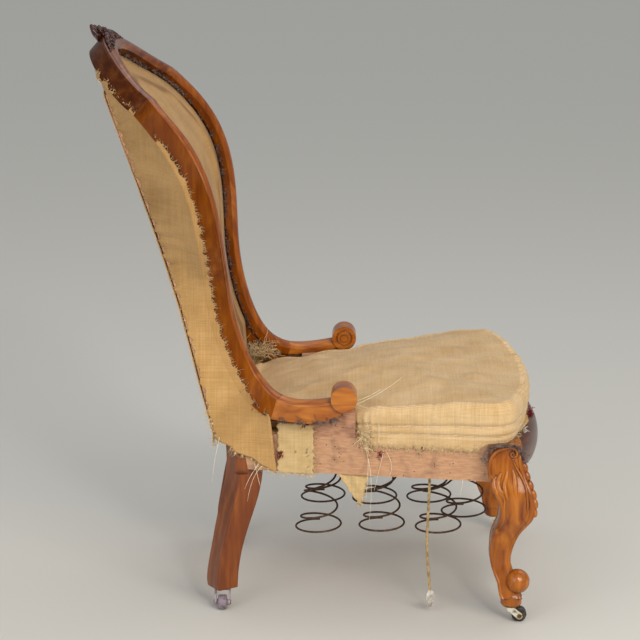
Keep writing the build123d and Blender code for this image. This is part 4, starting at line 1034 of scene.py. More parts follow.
@dataclass
class SeatPad:
    """Stuffed seat: hessian over coir with a stitched roll round its edge and a ragged skirt."""

    seat: SeatFrame
    outline: tuple = (
        (0, 116), (70, 116), (120, 112), (143, 102), (152, 70), (160, 20), (172, -40), (184, -66), (200, -80),
        (210, -98), (219, -150), (229, -210), (238, -262), (243, -292), (240, -316), (226, -334), (196, -346),
        (140, -360), (70, -371), (0, -375),
    )
    foot: float = 320.8
    # Y and height of the roll
    roll_line: tuple = (
        (-375, 383), (-340, 394), (-322, 397), (-212, 390), (-98, 377), (-73, 374), (-40, 372), (10, 368),
        (60, 361), (116, 355),
    )
    roll_ripple: float = 1.6
    roll_wave: float = 60.0
    # height share of the border and how far it stands out; the two dips are the rows of stitches
    border: tuple = (
        (0.0, 0.0), (0.06, 1.6), (0.11, 1.6), (0.16, 0.2), (0.22, 2.8), (0.29, 3.8), (0.36, 3.2), (0.42, 1.0),
        (0.49, 4.2), (0.6, 6.2), (0.72, 7.0), (0.84, 6.4), (0.93, 3.8), (0.99, -0.5), (1.02, -6.0),
        (1.01, -13.0),
    )
    border_height: float = 60.0
    border_rows: int = 44
    stitch_shares: tuple = (0.16, 0.42)
    over_share: float = 0.15  # share of the border over which it goes from the rail's face to the outline
    lump: float = 1.4
    # creases of the slack cover: middle, turn in degrees, length, width and height
    creases: tuple = (
        (-95, 70, 62, 90, 9, 5.0), (-60, 78, 78, 80, 8, 4.0), (-125, 40, 48, 95, 10, 5.5),
        (-20, 84, 95, 60, 10, 3.0), (40, 80, 105, 70, 9, 4.0), (95, 66, 122, 80, 9, 5.0),
        (-150, -30, 35, 90, 11, 4.0), (140, -20, 140, 90, 11, 4.0), (-60, -280, -20, 130, 18, 2.5),
        (70, -250, 15, 150, 22, 2.5),
    )
    centre: tuple = (0.0, -120.0)
    crown: float = 7.0
    middle: float = 394.0
    inset: float = 13.0  # mm from the outline to the top's edge
    top_rows: int = 34
    top_shares: tuple = (0.03, 0.97)  # of the way to the middle, first and last ring of the top
    level_power: float = 1.2  # how fast the roll's height and its ripple are lost on the way
    ripple_power: float = 9.0
    crease_start: float = 0.25  # share of the way over which the creases grow
    crease_end: tuple = (1.02, 0.3)  # share of the way at which they are gone, and over which they fade
    slack: float = 1.5  # mm of ripple on the top
    far_rise: float = 5.0  # mm the far side of the roll stands above the near one
    far_reach: float = 60.0  # mm to each side of the middle over which it rises
    calm_waves: float = 14.0  # waves round the roll above which its height is smoothed
    around: int = 460
    skirt: float = 16.0
    skirt_rear: float = -84.0
    skirt_front: float = -286.0
    skirt_off: float = 3.4  # mm from the rail's face
    skirt_blur: float = 4.0  # mm over which it begins and ends
    # height, length and seed of the ripples that tear its edge
    rags: tuple = ((3.2, 16, 19), (2.0, 6, 20))
    bottom_inset: float = 14.0
    hem: float = 1.5  # mm that the skirt's edge is turned in
    belly: float = 0.3  # mm that the skirt swells in its middle
    gather: float = 2.6  # mm of the bunched folds behind the arm
    gather_pitch: float = 11.0
    gather_reach: float = 17.0
    gather_ahead: float = 8.0  # mm from the skirt's rear end to the deepest fold
    top_stain: float = 0.2  # dust on the top, which the border has less of
    lift: float = 0.0012  # metres of stitches and threads off the cloth
    fray: Fringe = Fringe(900, (0.0015, 0.0035, 0.003), (0.0, 0.0, -0.0035))
    fray_height: float = 0.009  # metres up the skirt
    shag: Fringe = Fringe(260, 0.002)
    shag_reach: tuple = (0.002, 0.006)  # metres
    tear: Fringe = Fringe(220, (0.001, 0.004, 0.005), curl=0.5, thickness=1.1)
    tear_spot: tuple = (-0.2175, -0.088, 0.32)  # metres; where the skirt's end has come apart
    tear_spread: tuple = (0.001, 0.005, 0.010)  # metres
    stitch: Fringe = Fringe(159, (0.0002, 0.0004, 0.0007), curl=0.03, thickness=1.5, steps=4)
    stitch_overlap: float = 1.15
    low_row: int = 2  # the skirt's edge among the rings
    border_row: int = 4  # the border's first ring
    rows: Array | None = field(default=None, init=False)  # the rings, once they are laid
    out: Array | None = field(default=None, init=False)  # their outward normals

    def ring(self) -> tuple[Array, Array]:
        """Lays the outline as even points, counter-clockwise from the front, on a spline run round thrice.

        Returns:
            The points and their outward normals, (around, 2) in mm.
        """
        half = np.array(self.outline, float)[::-1]
        whole = np.concatenate([half, (half * (-1, 1))[-2:0:-1]])
        loops = np.concatenate([whole, whole, whole, whole[:1]])
        line = chord(loops)
        count = len(whole)
        at = np.linspace(line[count], line[2 * count], self.around, endpoint=False)
        after, before = (cubic(line, loops, at + step) for step in (0.5, -0.5))
        run = unit(after - before)
        return cubic(line, loops, at), np.stack([run[:, 1], -run[:, 0]], axis=1)

    def folds(self, spots: Array) -> Array:
        """Height of the creases: ridges with a bell section along short lines.

        Args:
            spots: (n, 2) in mm.

        Returns:
            (n,) in mm.
        """
        x, y, turn, length, width, height = np.array(self.creases).T
        turn = np.radians(turn)
        aside, ahead = spots[..., :1] - x, spots[..., 1:] - y
        along = aside * np.cos(turn) + ahead * np.sin(turn)
        away = ahead * np.cos(turn) - aside * np.sin(turn)
        return (np.exp(-((along / length) ** 2) - (away / width) ** 2) * height).sum(axis=-1)

    def roll(self, ring: Array) -> tuple[Array, Array]:
        """Height of the roll round the ring: straight between knots, its quick waves damped; then rippled.

        Args:
            ring: (around, 2) in mm.

        Returns:
            The even height and the rippled one, in mm.
        """
        even = np.interp(ring[:, 1], *np.array(self.roll_line, float).T)
        even = even + self.far_rise * np.tanh(ring[:, 0] / self.far_reach)
        calm = bell(np.arange(self.around // 2 + 1), self.calm_waves)
        even = np.fft.irfft(np.fft.rfft(even) * calm, self.around)
        return even, even + self.roll_ripple * ripple(ring, self.roll_wave, 17)

    def sides(self, ring: Array, out: Array, roll: Array) -> list[tuple[Array, Array]]:
        """Rings from under the pad by the skirt's ragged edge and up the border, swelled by its profile.

        Args:
            ring: (around, 2) in mm.
            out: Its outward normals.
            roll: The roll's height at each point, in mm.

        Returns:
            The rings' places and heights in mm.
        """
        y = ring[:, 1]
        past_rear = 1 + np.exp((y - self.skirt_rear) / self.skirt_blur)
        skirted = 1 / past_rear / (1 + np.exp((self.skirt_front - y) / self.skirt_blur))
        ragged = sum(height * ripple(ring, size, seed) for height, size, seed in self.rags)
        low = self.foot - skirted * (self.skirt + ragged)
        rail = np.stack([np.sign(ring[:, 0]) * (self.seat.rail_half(y) + self.skirt_off), y], axis=1)
        over = ring * (1 - skirted[:, None]) + rail * skirted[:, None]
        lumps = self.lump * ripple(np.concatenate([ring, roll[:, None]], axis=1), 34, 23)
        bunch = self.gather * np.cos(TURN * y / self.gather_pitch)
        bunch = bunch * bell(y - self.skirt_rear + self.gather_ahead, self.gather_reach)
        rings = [
            (ring - self.bottom_inset * out, np.full(self.around, self.foot)),
            (over - self.hem * out, low),
            (over, low),
            (over + self.belly * out, (low + self.foot) / 2),
        ]
        knots = np.array(self.border, float)
        line = chord(knots * (self.border_height, 1))
        for share, reach in cubic(line, knots, np.linspace(0, line[-1], self.border_rows)):
            swell = reach + (lumps + bunch) * math.sin(math.pi * min(share, 1.0))
            base = over + (ring - over) * min(share / self.over_share, 1.0)
            rings.append((base + swell[:, None] * out, self.foot + share * (roll - self.foot)))
        return rings

    def surface(self) -> Patch:
        """Rings up the sides and from the roll to the middle, with creases, and a flat bottom that closes it.

        Returns:
            The closed pad, with dust on its top.
        """
        ring, out = self.ring()
        even, roll = self.roll(ring)
        rings = self.sides(ring, out, roll)
        seam = len(rings) - 2
        inner = ring - self.inset * out
        end, fading = self.crease_end
        for share in np.linspace(*self.top_shares, self.top_rows):
            rest = 1 - share
            flat = inner + (np.array(self.centre) - inner) * share
            level = self.middle + (even - self.middle) * rest**self.level_power
            level = level + (roll - even) * rest**self.ripple_power
            fade = np.clip(share / self.crease_start, 0, 1) * np.clip((end - share) / fading, 0, 1)
            wrinkle = (self.folds(flat) + self.slack * ripple(flat, 75, 27)) * fade
            rings.append((flat, level + self.crown * (1 - rest**2) + wrinkle))
        points = np.stack([np.concatenate([flat, z[:, None]], axis=1) for flat, z in rings]) * MM
        shell = grid(points, ring=True)
        along = np.linspace(0, chord(ring)[-1], self.around) * MM
        border = np.stack(np.broadcast_arrays(along[None], points[..., 2]), axis=-1)
        on_border = np.arange(len(shell.quads)) < seam * self.around
        upright = border.reshape(-1, 2)[shell.quads]
        shell.quad_map = np.where(on_border[:, None, None], upright, shell.quad_map)
        hub = len(shell.points)
        last = hub - self.around
        heights = (self.foot * MM, points[-1, :, 2].mean())
        ends = np.array([[*np.array(self.centre) * MM, height] for height in heights])
        wheel = np.arange(self.around)
        following = np.roll(wheel, -1)
        bottom = np.stack([np.full(self.around, hub), following, wheel], axis=1)
        top = np.stack([np.full(self.around, hub + 1), wheel + last, following + last], axis=1)
        shell.points = np.concatenate([shell.points, ends])
        shell.tris = np.concatenate([bottom, top])
        shell.tri_map = shell.points[shell.tris][..., :2]
        on_top = np.arange(len(shell.points)) >= seam * self.around
        shell.stain = blots(shell.points, 0.14, 29, 0.5, 0.14) + self.top_stain * on_top
        self.rows = points
        self.out = np.concatenate([out, np.zeros((self.around, 1))], axis=1)
        return shell

    def row_at(self, share: float) -> Array:
        """Finds the ring of the border that is nearest a share of its height at the front.

        Args:
            share: Of the height from foot to roll.

        Returns:
            (around, 3) in metres.
        """
        rows = self.rows[self.border_row : self.border_row + self.border_rows]
        heights = rows[:, 0, 2] / MM
        height = self.foot + share * (np.max(heights) - self.foot)
        return rows[int(np.argmin(np.abs(heights - height)))]

    def dress(self) -> None:
        """Puts the pad in place of its CAD solid, with stitches along the roll and threads off the skirt."""
        obj = place("seat_cover", self.surface(), PAD_JUTE)
        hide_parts("seat_pad")
        rng = np.random.default_rng(77)
        low = self.rows[self.low_row]
        y = low[:, 1] / MM
        ahead = y < self.skirt_rear
        pick = rng.choice(np.flatnonzero(ahead & (y > self.skirt_front)), self.fray.count)
        drop = self.fray.ways(rng)
        above = rng.uniform(0, self.fray_height, (self.fray.count, 1)) * (0, 0, 1)
        sheds = [self.fray.grow(low[pick] + self.out[pick] * self.lift + above, drop, 78)]
        pick = rng.choice(np.flatnonzero(y < self.skirt_front), self.shag.count)
        tufts = self.out[pick] * rng.uniform(*self.shag_reach, (self.shag.count, 1)) + self.shag.ways(rng)
        sheds.append(self.shag.grow(low[pick], tufts, 79))
        bunch = scatter(rng, self.tear.count, self.tear_spread, self.tear_spot)
        sheds.append(self.tear.grow(bunch, self.tear.ways(rng), 84))
        place("pad_fray", merge(sheds), PALE_THREAD)
        sewn = np.flatnonzero(ahead)
        order = sewn[np.argsort((sewn + self.around // 2) % self.around)]
        stitches = []
        for n, share in enumerate(self.stitch_shares):
            line = spread(self.row_at(share)[order] + self.out[order] * self.lift, self.stitch.count + 1)
            ways = np.diff(line, axis=0) * self.stitch_overlap + self.stitch.ways(rng)
            stitches.append(self.stitch.grow(line[:-1], ways, 80 + n))
        place("pad_stitches", merge(stitches), STITCH_THREAD)


@dataclass
class RailScraps:
    """What is left of the old covers on the camera side: hessian on the rail and a torn flap below."""

    seat: SeatFrame
    patch_rear: float = 66.0
    patch_front: float = 4.0
    patch_foot: float = 250.0
    patch_top: float = 340.0
    patch_columns: int = 24
    patch_rows: int = 32
    flap_rear: float = -37.0
    flap_front: float = -92.0
    flap_tip: float = -76.0
    flap_tip_width: float = 7.0
    flap_drop: float = 52.0
    flap_top: float = 252.5
    flap_x: float = -198.0
    flap_columns: int = 18
    flap_rows: int = 20
    thickness: float = 1.0
    below: Fringe = Fringe(90, (0.001, 0.002, 0.002), (0.0, 0.0, -0.005), 0.3, 0.55)
    ahead: Fringe = Fringe(90, (0.001, 0.002, 0.002), (0.0, -0.005, 0.0), 0.3, 0.55)

    def patch(self) -> Patch:
        """Rows of points just outside the rail's face, rippled, and lifted a little at the front edge.

        Returns:
            The sheet.
        """
        across = np.linspace(0, 1, self.patch_columns)[None]
        up = np.linspace(0, 1, self.patch_rows)[:, None]
        y = self.patch_rear + (self.patch_front - self.patch_rear) * across
        y = y + 1.5 * ripple(up, 0.16, 91)[:, None]
        z = self.patch_foot + (self.patch_top - self.patch_foot) * up
        z = z + 1.6 * ripple(across[..., None], 0.15, 92)
        spots = np.stack(np.broadcast_arrays(y, z), axis=-1)
        x = -(self.seat.rail_half(spots[..., 0]) + 2.4 + 0.7 * ripple(spots, 26, 93) + 3.0 * across**4)
        return grid(np.concatenate([x[..., None], spots], axis=-1) * MM, spots * MM)

    def flap(self) -> Patch:
        """Rows from the torn tip up to the rail, each as wide as its share of the height, curled outwards.

        Returns:
            The sheet.
        """
        up = np.linspace(0, 1, self.flap_rows)[:, None]
        across = np.linspace(-0.5, 0.5, self.flap_columns)[None]
        middle = self.flap_tip + ((self.flap_rear + self.flap_front) / 2 - self.flap_tip) * up
        width = self.flap_tip_width + (self.flap_rear - self.flap_front - self.flap_tip_width) * up
        y = middle - across * width + 1.5 * ripple(up, 0.25, 94)[:, None]
        z = self.flap_top - self.flap_drop * (1 - up) + 3 * across**2
        spots = np.stack(np.broadcast_arrays(y, z), axis=-1)
        x = self.flap_x - 7 * np.sin(np.pi * (1 - up)) * (0.6 + across) + 2.5 * ripple(spots, 30, 95)
        return grid(np.concatenate([x[..., None], spots], axis=-1) * MM, spots * MM)

    def dress(self) -> None:
        """Puts both in place of their CAD solids, with fringes."""
        rng = np.random.default_rng(96)
        for name, node, patch, columns, flat in (
            ("rail_scrap", "rail_patch", self.patch(), self.patch_columns, (0.066, 0.094)),
            ("torn_flap", "canvas_flap", self.flap(), self.flap_columns, (0.062, 0.062)),
        ):
            sheds = []
            for seed, fringe, edge in (
                (97, self.below, patch.points[:columns]),
                (98, self.ahead, patch.points[columns - 1 :: columns]),
            ):
                starts = edge[rng.integers(0, len(edge), fringe.count)]
                sheds.append(fringe.grow(starts, fringe.ways(rng), seed))
            loose = place(f"{name}_fringe", merge(sheds), JUTE_THREAD)
            obj = place(name, patch, PATCH_JUTE, thickness=self.thickness)
            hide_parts(node)
            patch.area()


@dataclass
class SpringCanvas:
    """Canvas over the springs, sewn to their top rings and tacked on the rails."""

    seat: SeatFrame
    rear: float = 116.0
    front: float = -376.0
    front_radius: float = 404.0
    front_centre: float = 16.0
    least_half: float = 10.0
    inset: float = 6.0  # mm from the rails' outer faces
    height: float = 319.9
    thickness: float = 1.6
    rows: int = 60
    columns: int = 48

    def dress(self) -> None:
        """Rows across the seat between the rails' outer edges, on the rails and the springs."""
        y = np.linspace(self.front, self.rear, self.rows)[:, None]
        arc = np.sqrt(np.maximum(self.front_radius**2 - (y - self.front_centre) ** 2, self.least_half**2))
        half = np.minimum(self.seat.rail_half(y) - self.inset, arc)
        x = half * np.linspace(-1, 1, self.columns)[None]
        patch = grid(np.stack(np.broadcast_arrays(x, y, self.height), axis=-1) * MM)
        obj = place("spring_canvas_sheet", patch, PANEL_JUTE, thickness=self.thickness)
        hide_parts("spring_canvas")
        patch.area()


@dataclass
class Springs:
    """Seven waisted coil springs of rusted wire under the seat."""

    places: tuple = ((-80, -10), (80, -10), (-80, -114), (80, -114), (-80, -216), (80, -216), (0, -278))
    leans: tuple = ((-5, 4), (6, -3), (3, -6), (-4, 5), (-6, -5), (5, 6), (2, 7))
    wire: float = 3.6
    end: float = 45.0
    waist: float = 27.0
    foot: float = 115.0
    top: float = 315.9
    turns: float = 5.5
    closing: float = 0.8
    steps: int = 176
    sides: int = 10

    def dress(self) -> None:
        """Each wire climbs fastest in its middle and is narrowest there."""
        share = np.linspace(0, 1, self.steps)
        rise = share - self.closing * np.sin(TURN * share) / TURN
        radius = self.waist + (self.end - self.waist) * np.abs(2 * share - 1) ** 1.5
        turn = TURN * self.turns * share
        for n, (spot, lean) in enumerate(zip(self.places, self.leans), start=1):
            x = spot[0] + lean[0] * (1 - rise) + radius * np.cos(turn)
            y = spot[1] + lean[1] * (1 - rise) + radius * np.sin(turn)
            path = np.stack([x, y, self.foot + (self.top - self.foot) * rise], axis=1)[None] * MM
            coil = rods(path, self.wire / 2 * MM, self.sides)
            obj = place(f"spring_wire_{n}", coil, SPRING_STEEL, "rusted_spring_steel")
            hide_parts(f"seat_spring_{n}")


@dataclass
class HangingCord:
    """Twisted cotton cord, left hanging from the right side rail, and frayed out at its end."""

    points: tuple = (
        (-205, -198, 251.7), (-204.6, -197.4, 214), (-205, -195.4, 170), (-206, -194.2, 126),
        (-205.4, -196.6, 82), (-204, -201, 40.5),
    )
    route_points: int = 240
    diameter: float = 5.2
    strands: int = 3
    strand_sides: int = 8
    lay: float = 17.0  # mm for one turn of a strand
    pressed: float = 1.08  # round strands are this much thicker, as they press into each other
    tuft_radius: float = 8.5
    tuft_height: float = 31.0
    tuft_strands: int = 170
    tuft_steps: int = 7
    tuft_fibre: float = 0.45

    def route(self) -> Array:
        """Lays the cord's line as a NURBS spline's own points.

        Returns:
            (n, 3) in metres.
        """
        curve = bpy.data.curves.new("cord_route", "CURVE")
        curve.dimensions = "3D"
        curve.resolution_u = 24
        line = curve.splines.new("NURBS")
        line.points.add(len(self.points) - 1)
        spots = np.concatenate([np.array(self.points) * MM, np.ones((len(self.points), 1))], axis=1)
        line.points.foreach_set("co", spots.ravel())
        line.order_u = 3
        line.use_endpoint_u = True
        holder = link("cord_route", curve)
        bpy.context.view_layer.update()
        seen = bpy.data.meshes.new_from_object(holder)
        found = np.zeros(len(seen.vertices) * 3)
        seen.vertices.foreach_get("co", found)
        bpy.data.meshes.remove(seen)
        bpy.data.objects.remove(holder)
        bpy.data.curves.remove(curve)
        return found.reshape(-1, 3)

    def tuft(self) -> Patch:
        """Fibres from the cord's end that bow out to an egg and come together below.

        Returns:
            The patch.
        """
        rng = np.random.default_rng(101)
        each = (self.tuft_strands, 1)
        share = np.linspace(0, 1, self.tuft_steps)[None]
        turn = rng.uniform(0, TURN, each) + share * rng.normal(size=each)
        reach = self.tuft_radius * rng.uniform(0.25, 1.0, each) * np.sin(np.pi * (0.06 + 0.86 * share)) ** 0.8
        end = self.points[-1]
        z = end[2] - self.tuft_height * share * rng.uniform(0.7, 1.0, each) - 0.4
        paths = np.stack([end[0] + reach * np.cos(turn), end[1] + reach * np.sin(turn), z], axis=-1) * MM
        return rods(paths, self.tuft_fibre * MM, up=(0.3, 0.9, 0.1))

    def dress(self) -> None:
        """Strands wind about the route at the cord's own lay; the cord stands for its CAD solids."""
        route = spread(self.route(), self.route_points)
        at = chord(route)
        along = unit(np.gradient(route, axis=0))
        beside = unit(np.cross(along, OUTWARDS))
        above = np.cross(beside, along)
        # strands that only touch each other reach the cord's radius at this thickness
        touching = self.diameter / 2 / (1 + 1 / math.sin(math.pi / self.strands))
        thick = touching * self.pressed
        turn = TURN * (at / (self.lay * MM) + np.arange(self.strands)[:, None] / self.strands)
        wound = np.cos(turn)[..., None] * beside + np.sin(turn)[..., None] * above
        paths = route + (self.diameter / 2 - thick) * MM * wound
        twist = rods(paths, thick * MM, self.strand_sides, OUTWARDS)
        cord = place("cotton_cord", twist, COTTON, "cotton_cord")
        tuft = place("cotton_tuft", self.tuft(), WHITE_CHIP, "cotton_cord")
        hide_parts("hanging_cord")
        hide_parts("cord_tuft")


@dataclass
class Cresting:
    """Carved cresting on the top of the back: a fan of leaves, with scrolls falling to both sides."""

    line: BackLine
    root_across: float = 9.0
    root_ahead: float = -13.0
    leaf: float = 40.0
    leaf_radius: float = 9.2
    leaf_curl: float = 5.0
    vein: float = 1.3
    turns: tuple = (-84, -58, -30, 0, 30, 58, 84)
    # size, lift in mm, share of the turns and spin in degrees of each layer of leaves
    layers: tuple = ((1.0, 0.0, 1.0, 0), (0.74, 7.0, 0.95, 14), (0.5, 12.0, 0.95, 0))
    # distance from the middle and radius of the scrolls on each side
    scrolls: tuple = ((20, 11.5), (38, 10.5), (55, 9.0), (71, 7.0), (84, 5.0))
    scroll_turn: float = 1.7 * math.pi
    first_station: float = 86.0  # distance of station 1 from the middle
    scroll_across: float = 9.0
    scroll_ahead: float = -9.0
    probe: float = 10.0  # mm to another place on the section, for a direction

    def frame(
        self, at: float, across: float, ahead: float, side: Side
    ) -> tuple[Array, Array, Array]:
        """Finds a place on the crest's section and the ways there.

        Args:
            at: Station number.
            across: mm outwards from the crown.
            ahead: mm in front of the crown's tangent.
            side: Left or right.

        Returns:
            The place in metres, and unit vectors outwards and to the moulded face.
        """
        root = self.line.spot([at], across, ahead, side)[0]
        above = unit(self.line.spot([at], across + self.probe, ahead, side)[0] - root)
        front = unit(self.line.spot([at], across, ahead + self.probe, side)[0] - root)
        return root, above, front

    def leaves(self) -> list[Patch]:
        """Leaves are flattened pods, each with a vein, that swell and taper as they curl to the front.

        Returns:
            Leaves and veins of each layer.
        """
        root, above, front = self.frame(0.0, self.root_across, self.root_ahead, Side.LEFT)
        share = np.linspace(0, 1, 13)
        swell = np.sin(np.pi * (0.1 + 0.86 * share)) ** 0.7
        pods = []
        for size, lift, fan, spin in self.layers:
            turn = np.radians(np.array(self.turns) * fan + spin)
            ways = np.sin(turn)[:, None] * np.array(OUTWARDS) + np.cos(turn)[:, None] * above
            paths = ways[:, None] * (self.leaf * size * MM * (0.1 + 0.9 * share))[:, None]
            paths = root + front * lift * MM + paths + front * MM * self.leaf_curl * (share**3)[:, None]
            radius = self.leaf_radius * size * MM * swell
            pods.append(rods(paths, radius, 10, front, 0.75))
            pods.append(rods(paths + front * 0.72 * radius[:, None], self.vein * MM * swell, 6, front))
        return pods

    def curls(self, offset: float, size: float, side: Side) -> list[Patch]:
        """A scroll is a spiral rim that rises and thins as it closes, over a round boss.

        Args:
            offset: mm from the middle.
            size: Radius in mm.
            side: Left or right.

        Returns:
            Rim and boss.
        """
        at = offset / self.first_station
        middle, above, front = self.frame(at, self.scroll_across, self.scroll_ahead, side)
        beside = np.cross(above, front) * side.value
        share = np.linspace(0, 1, 16)[:, None]
        angle = self.scroll_turn * share
        rim = middle + (np.cos(angle) * beside + np.sin(angle) * above) * size * (1 - 0.45 * share) * MM
        rim = rim + front * MM * (size * 0.8 + 3 * share)
        boss = middle + front * MM * size * np.linspace(-0.7, 1.0, 9)[:, None]
        dome = size * MM * np.sin(np.pi * np.linspace(0.12, 0.9, 9)) ** 0.5
        wire = 0.36 * size * MM * (1 - 0.3 * share[:, 0])
        return [rods(rim[None], wire, 8, front), rods(boss[None], dome, 12, above)]

    def dress(self) -> None:
        """Puts the carving in place of its CAD solid."""
        pods = self.leaves()
        for side in Side:
            for offset, size in self.scrolls:
                pods += self.curls(offset, size, side)
        obj = place("carved_cresting", merge(pods), CARVED_WOOD, MAHOGANY)
        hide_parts("cresting")


@dataclass
class LegCarving:
    """Carving on the knee of a front leg: a C-scroll with a volute, acanthus lobes and husks."""

    side: Side
    # height, distance forward (Y) and half thickness of the leg
    leg: tuple = (
        (46, -340, 18.5), (112, -320, 18), (157, -327, 23), (175, -335.5, 25.5), (194, -344, 29),
        (220, -345, 31), (243, -338, 34), (262, -331, 33), (281, -327, 31.5), (300, -325, 30),
        (320, -324, 29),
    )
    top_x: float = 232.0
    top_y: float = -324.0
    splay: float = 0.75
    # Y and height along each carved line
    scroll: tuple = (
        (-300, 262), (-297, 276), (-297, 290), (-300, 300), (-305, 308), (-313, 314), (-322, 317),
        (-331, 318.5), (-339, 317), (-344, 311), (-343, 304), (-337, 302), (-333, 306), (-335, 310),
        (-338, 309),
    )
    beads: tuple = (
        ((-299, 272), (-306, 262), (-314, 252), (-321, 238), (-323, 222), (-319, 200), (-311, 176)),
        ((-336, 300), (-341, 288), (-350, 272), (-359, 252), (-362, 232), (-361, 210), (-352, 186)),
    )
    lobes: tuple = (
        ((-318, 276), (-313, 266), (-312, 254), (-317, 240), (-325, 226)),
        ((-327, 280), (-326, 268), (-323, 252), (-327, 236), (-332, 220)),
        ((-336, 282), (-339, 270), (-341, 254), (-342, 238), (-344, 222)),
        ((-309, 270), (-305, 262), (-305, 252), (-310, 242), (-317, 232)),
    )
    husks: tuple = (283, 268, 253, 238, 223, 208)  # heights
    husk_half: float = 9.0
    husk_radius: float = 6.0
    husk_inset: float = 6.0  # mm from the leg's outer face
    scroll_radius: float = 3.6
    bead_radius: float = 2.4
    lobe_radius: float = 5.0
    steps: int = 40
    husk_steps: int = 9

    def section(self, height: Array | float) -> tuple[Array, Array, Array]:
        """Measures the leg.

        Args:
            height: One or more heights in mm.

        Returns:
            X of its outer face, Y of its middle and half of its thickness there, in mm.
        """
        line = np.array(self.leg, float)
        back, half = (np.interp(height, line[:, 0], line[:, i]) for i in (1, 2))
        return self.top_x + self.splay * (self.top_y - back) + half, back, half

    def carve(self, knots: tuple, sunk: float, radius: Array, sides: int = 8, flat: float = 1.0) -> Patch:
        """Lays a rod on the leg's outer face along a smooth line.

        Args:
            knots: Y and height of points on the line.
            sunk: mm that its middle lies below the face.
            radius: In mm, for each step.
            sides: Corners of a ring.
            flat: Share of the radius outwards.

        Returns:
            The patch.
        """
        knots = np.array(knots, float)
        line = chord(knots)
        spots = cubic(line, knots, np.linspace(0, line[-1], self.steps))
        x = self.side.value * (self.section(spots[:, 1])[0] - sunk)
        path = np.concatenate([x[:, None], spots], axis=1) * MM
        return rods(path[None], radius * MM, sides, OUTWARDS, flat)

    def dress(self) -> None:
        """Beads are thin pods of nearly even width; lobes and husks swell and taper as powers of a sine."""
        share = np.linspace(0, 1, self.steps)
        rim = self.scroll_radius * (0.65 + 0.35 * np.sin(np.pi * np.clip(share * 1.2, 0, 1)))
        pods = [self.carve(self.scroll, 1.0, rim)]
        taper = self.bead_radius * np.sin(np.pi * (0.1 + 0.88 * share)) ** 0.35
        pods += [self.carve(bead, 0.8, taper) for bead in self.beads]
        swell = self.lobe_radius * np.sin(np.pi * (0.12 + 0.86 * share)) ** 0.8
        pods += [self.carve(lobe, 1.6, swell, 10, 0.75) for lobe in self.lobes]
        share = np.linspace(0, 1, self.husk_steps)
        husk = self.husk_radius * MM * np.sin(np.pi * (0.1 + 0.75 * share)) ** 0.7
        for height in self.husks:
            x, back, half = self.section(height)
            x = (x - self.husk_inset) * self.side.value
            start = np.array([x, back - half + 2.5, height + self.husk_half])
            end = np.array([x, back - half - 1.0, height - self.husk_half])
            path = (start + (end - start) * share[:, None]) * MM
            pods.append(rods(path[None], husk, 8, OUTWARDS))
        place(f"knee_carving_{self.side.tag}", merge(pods), LEG_WOOD, MAHOGANY)


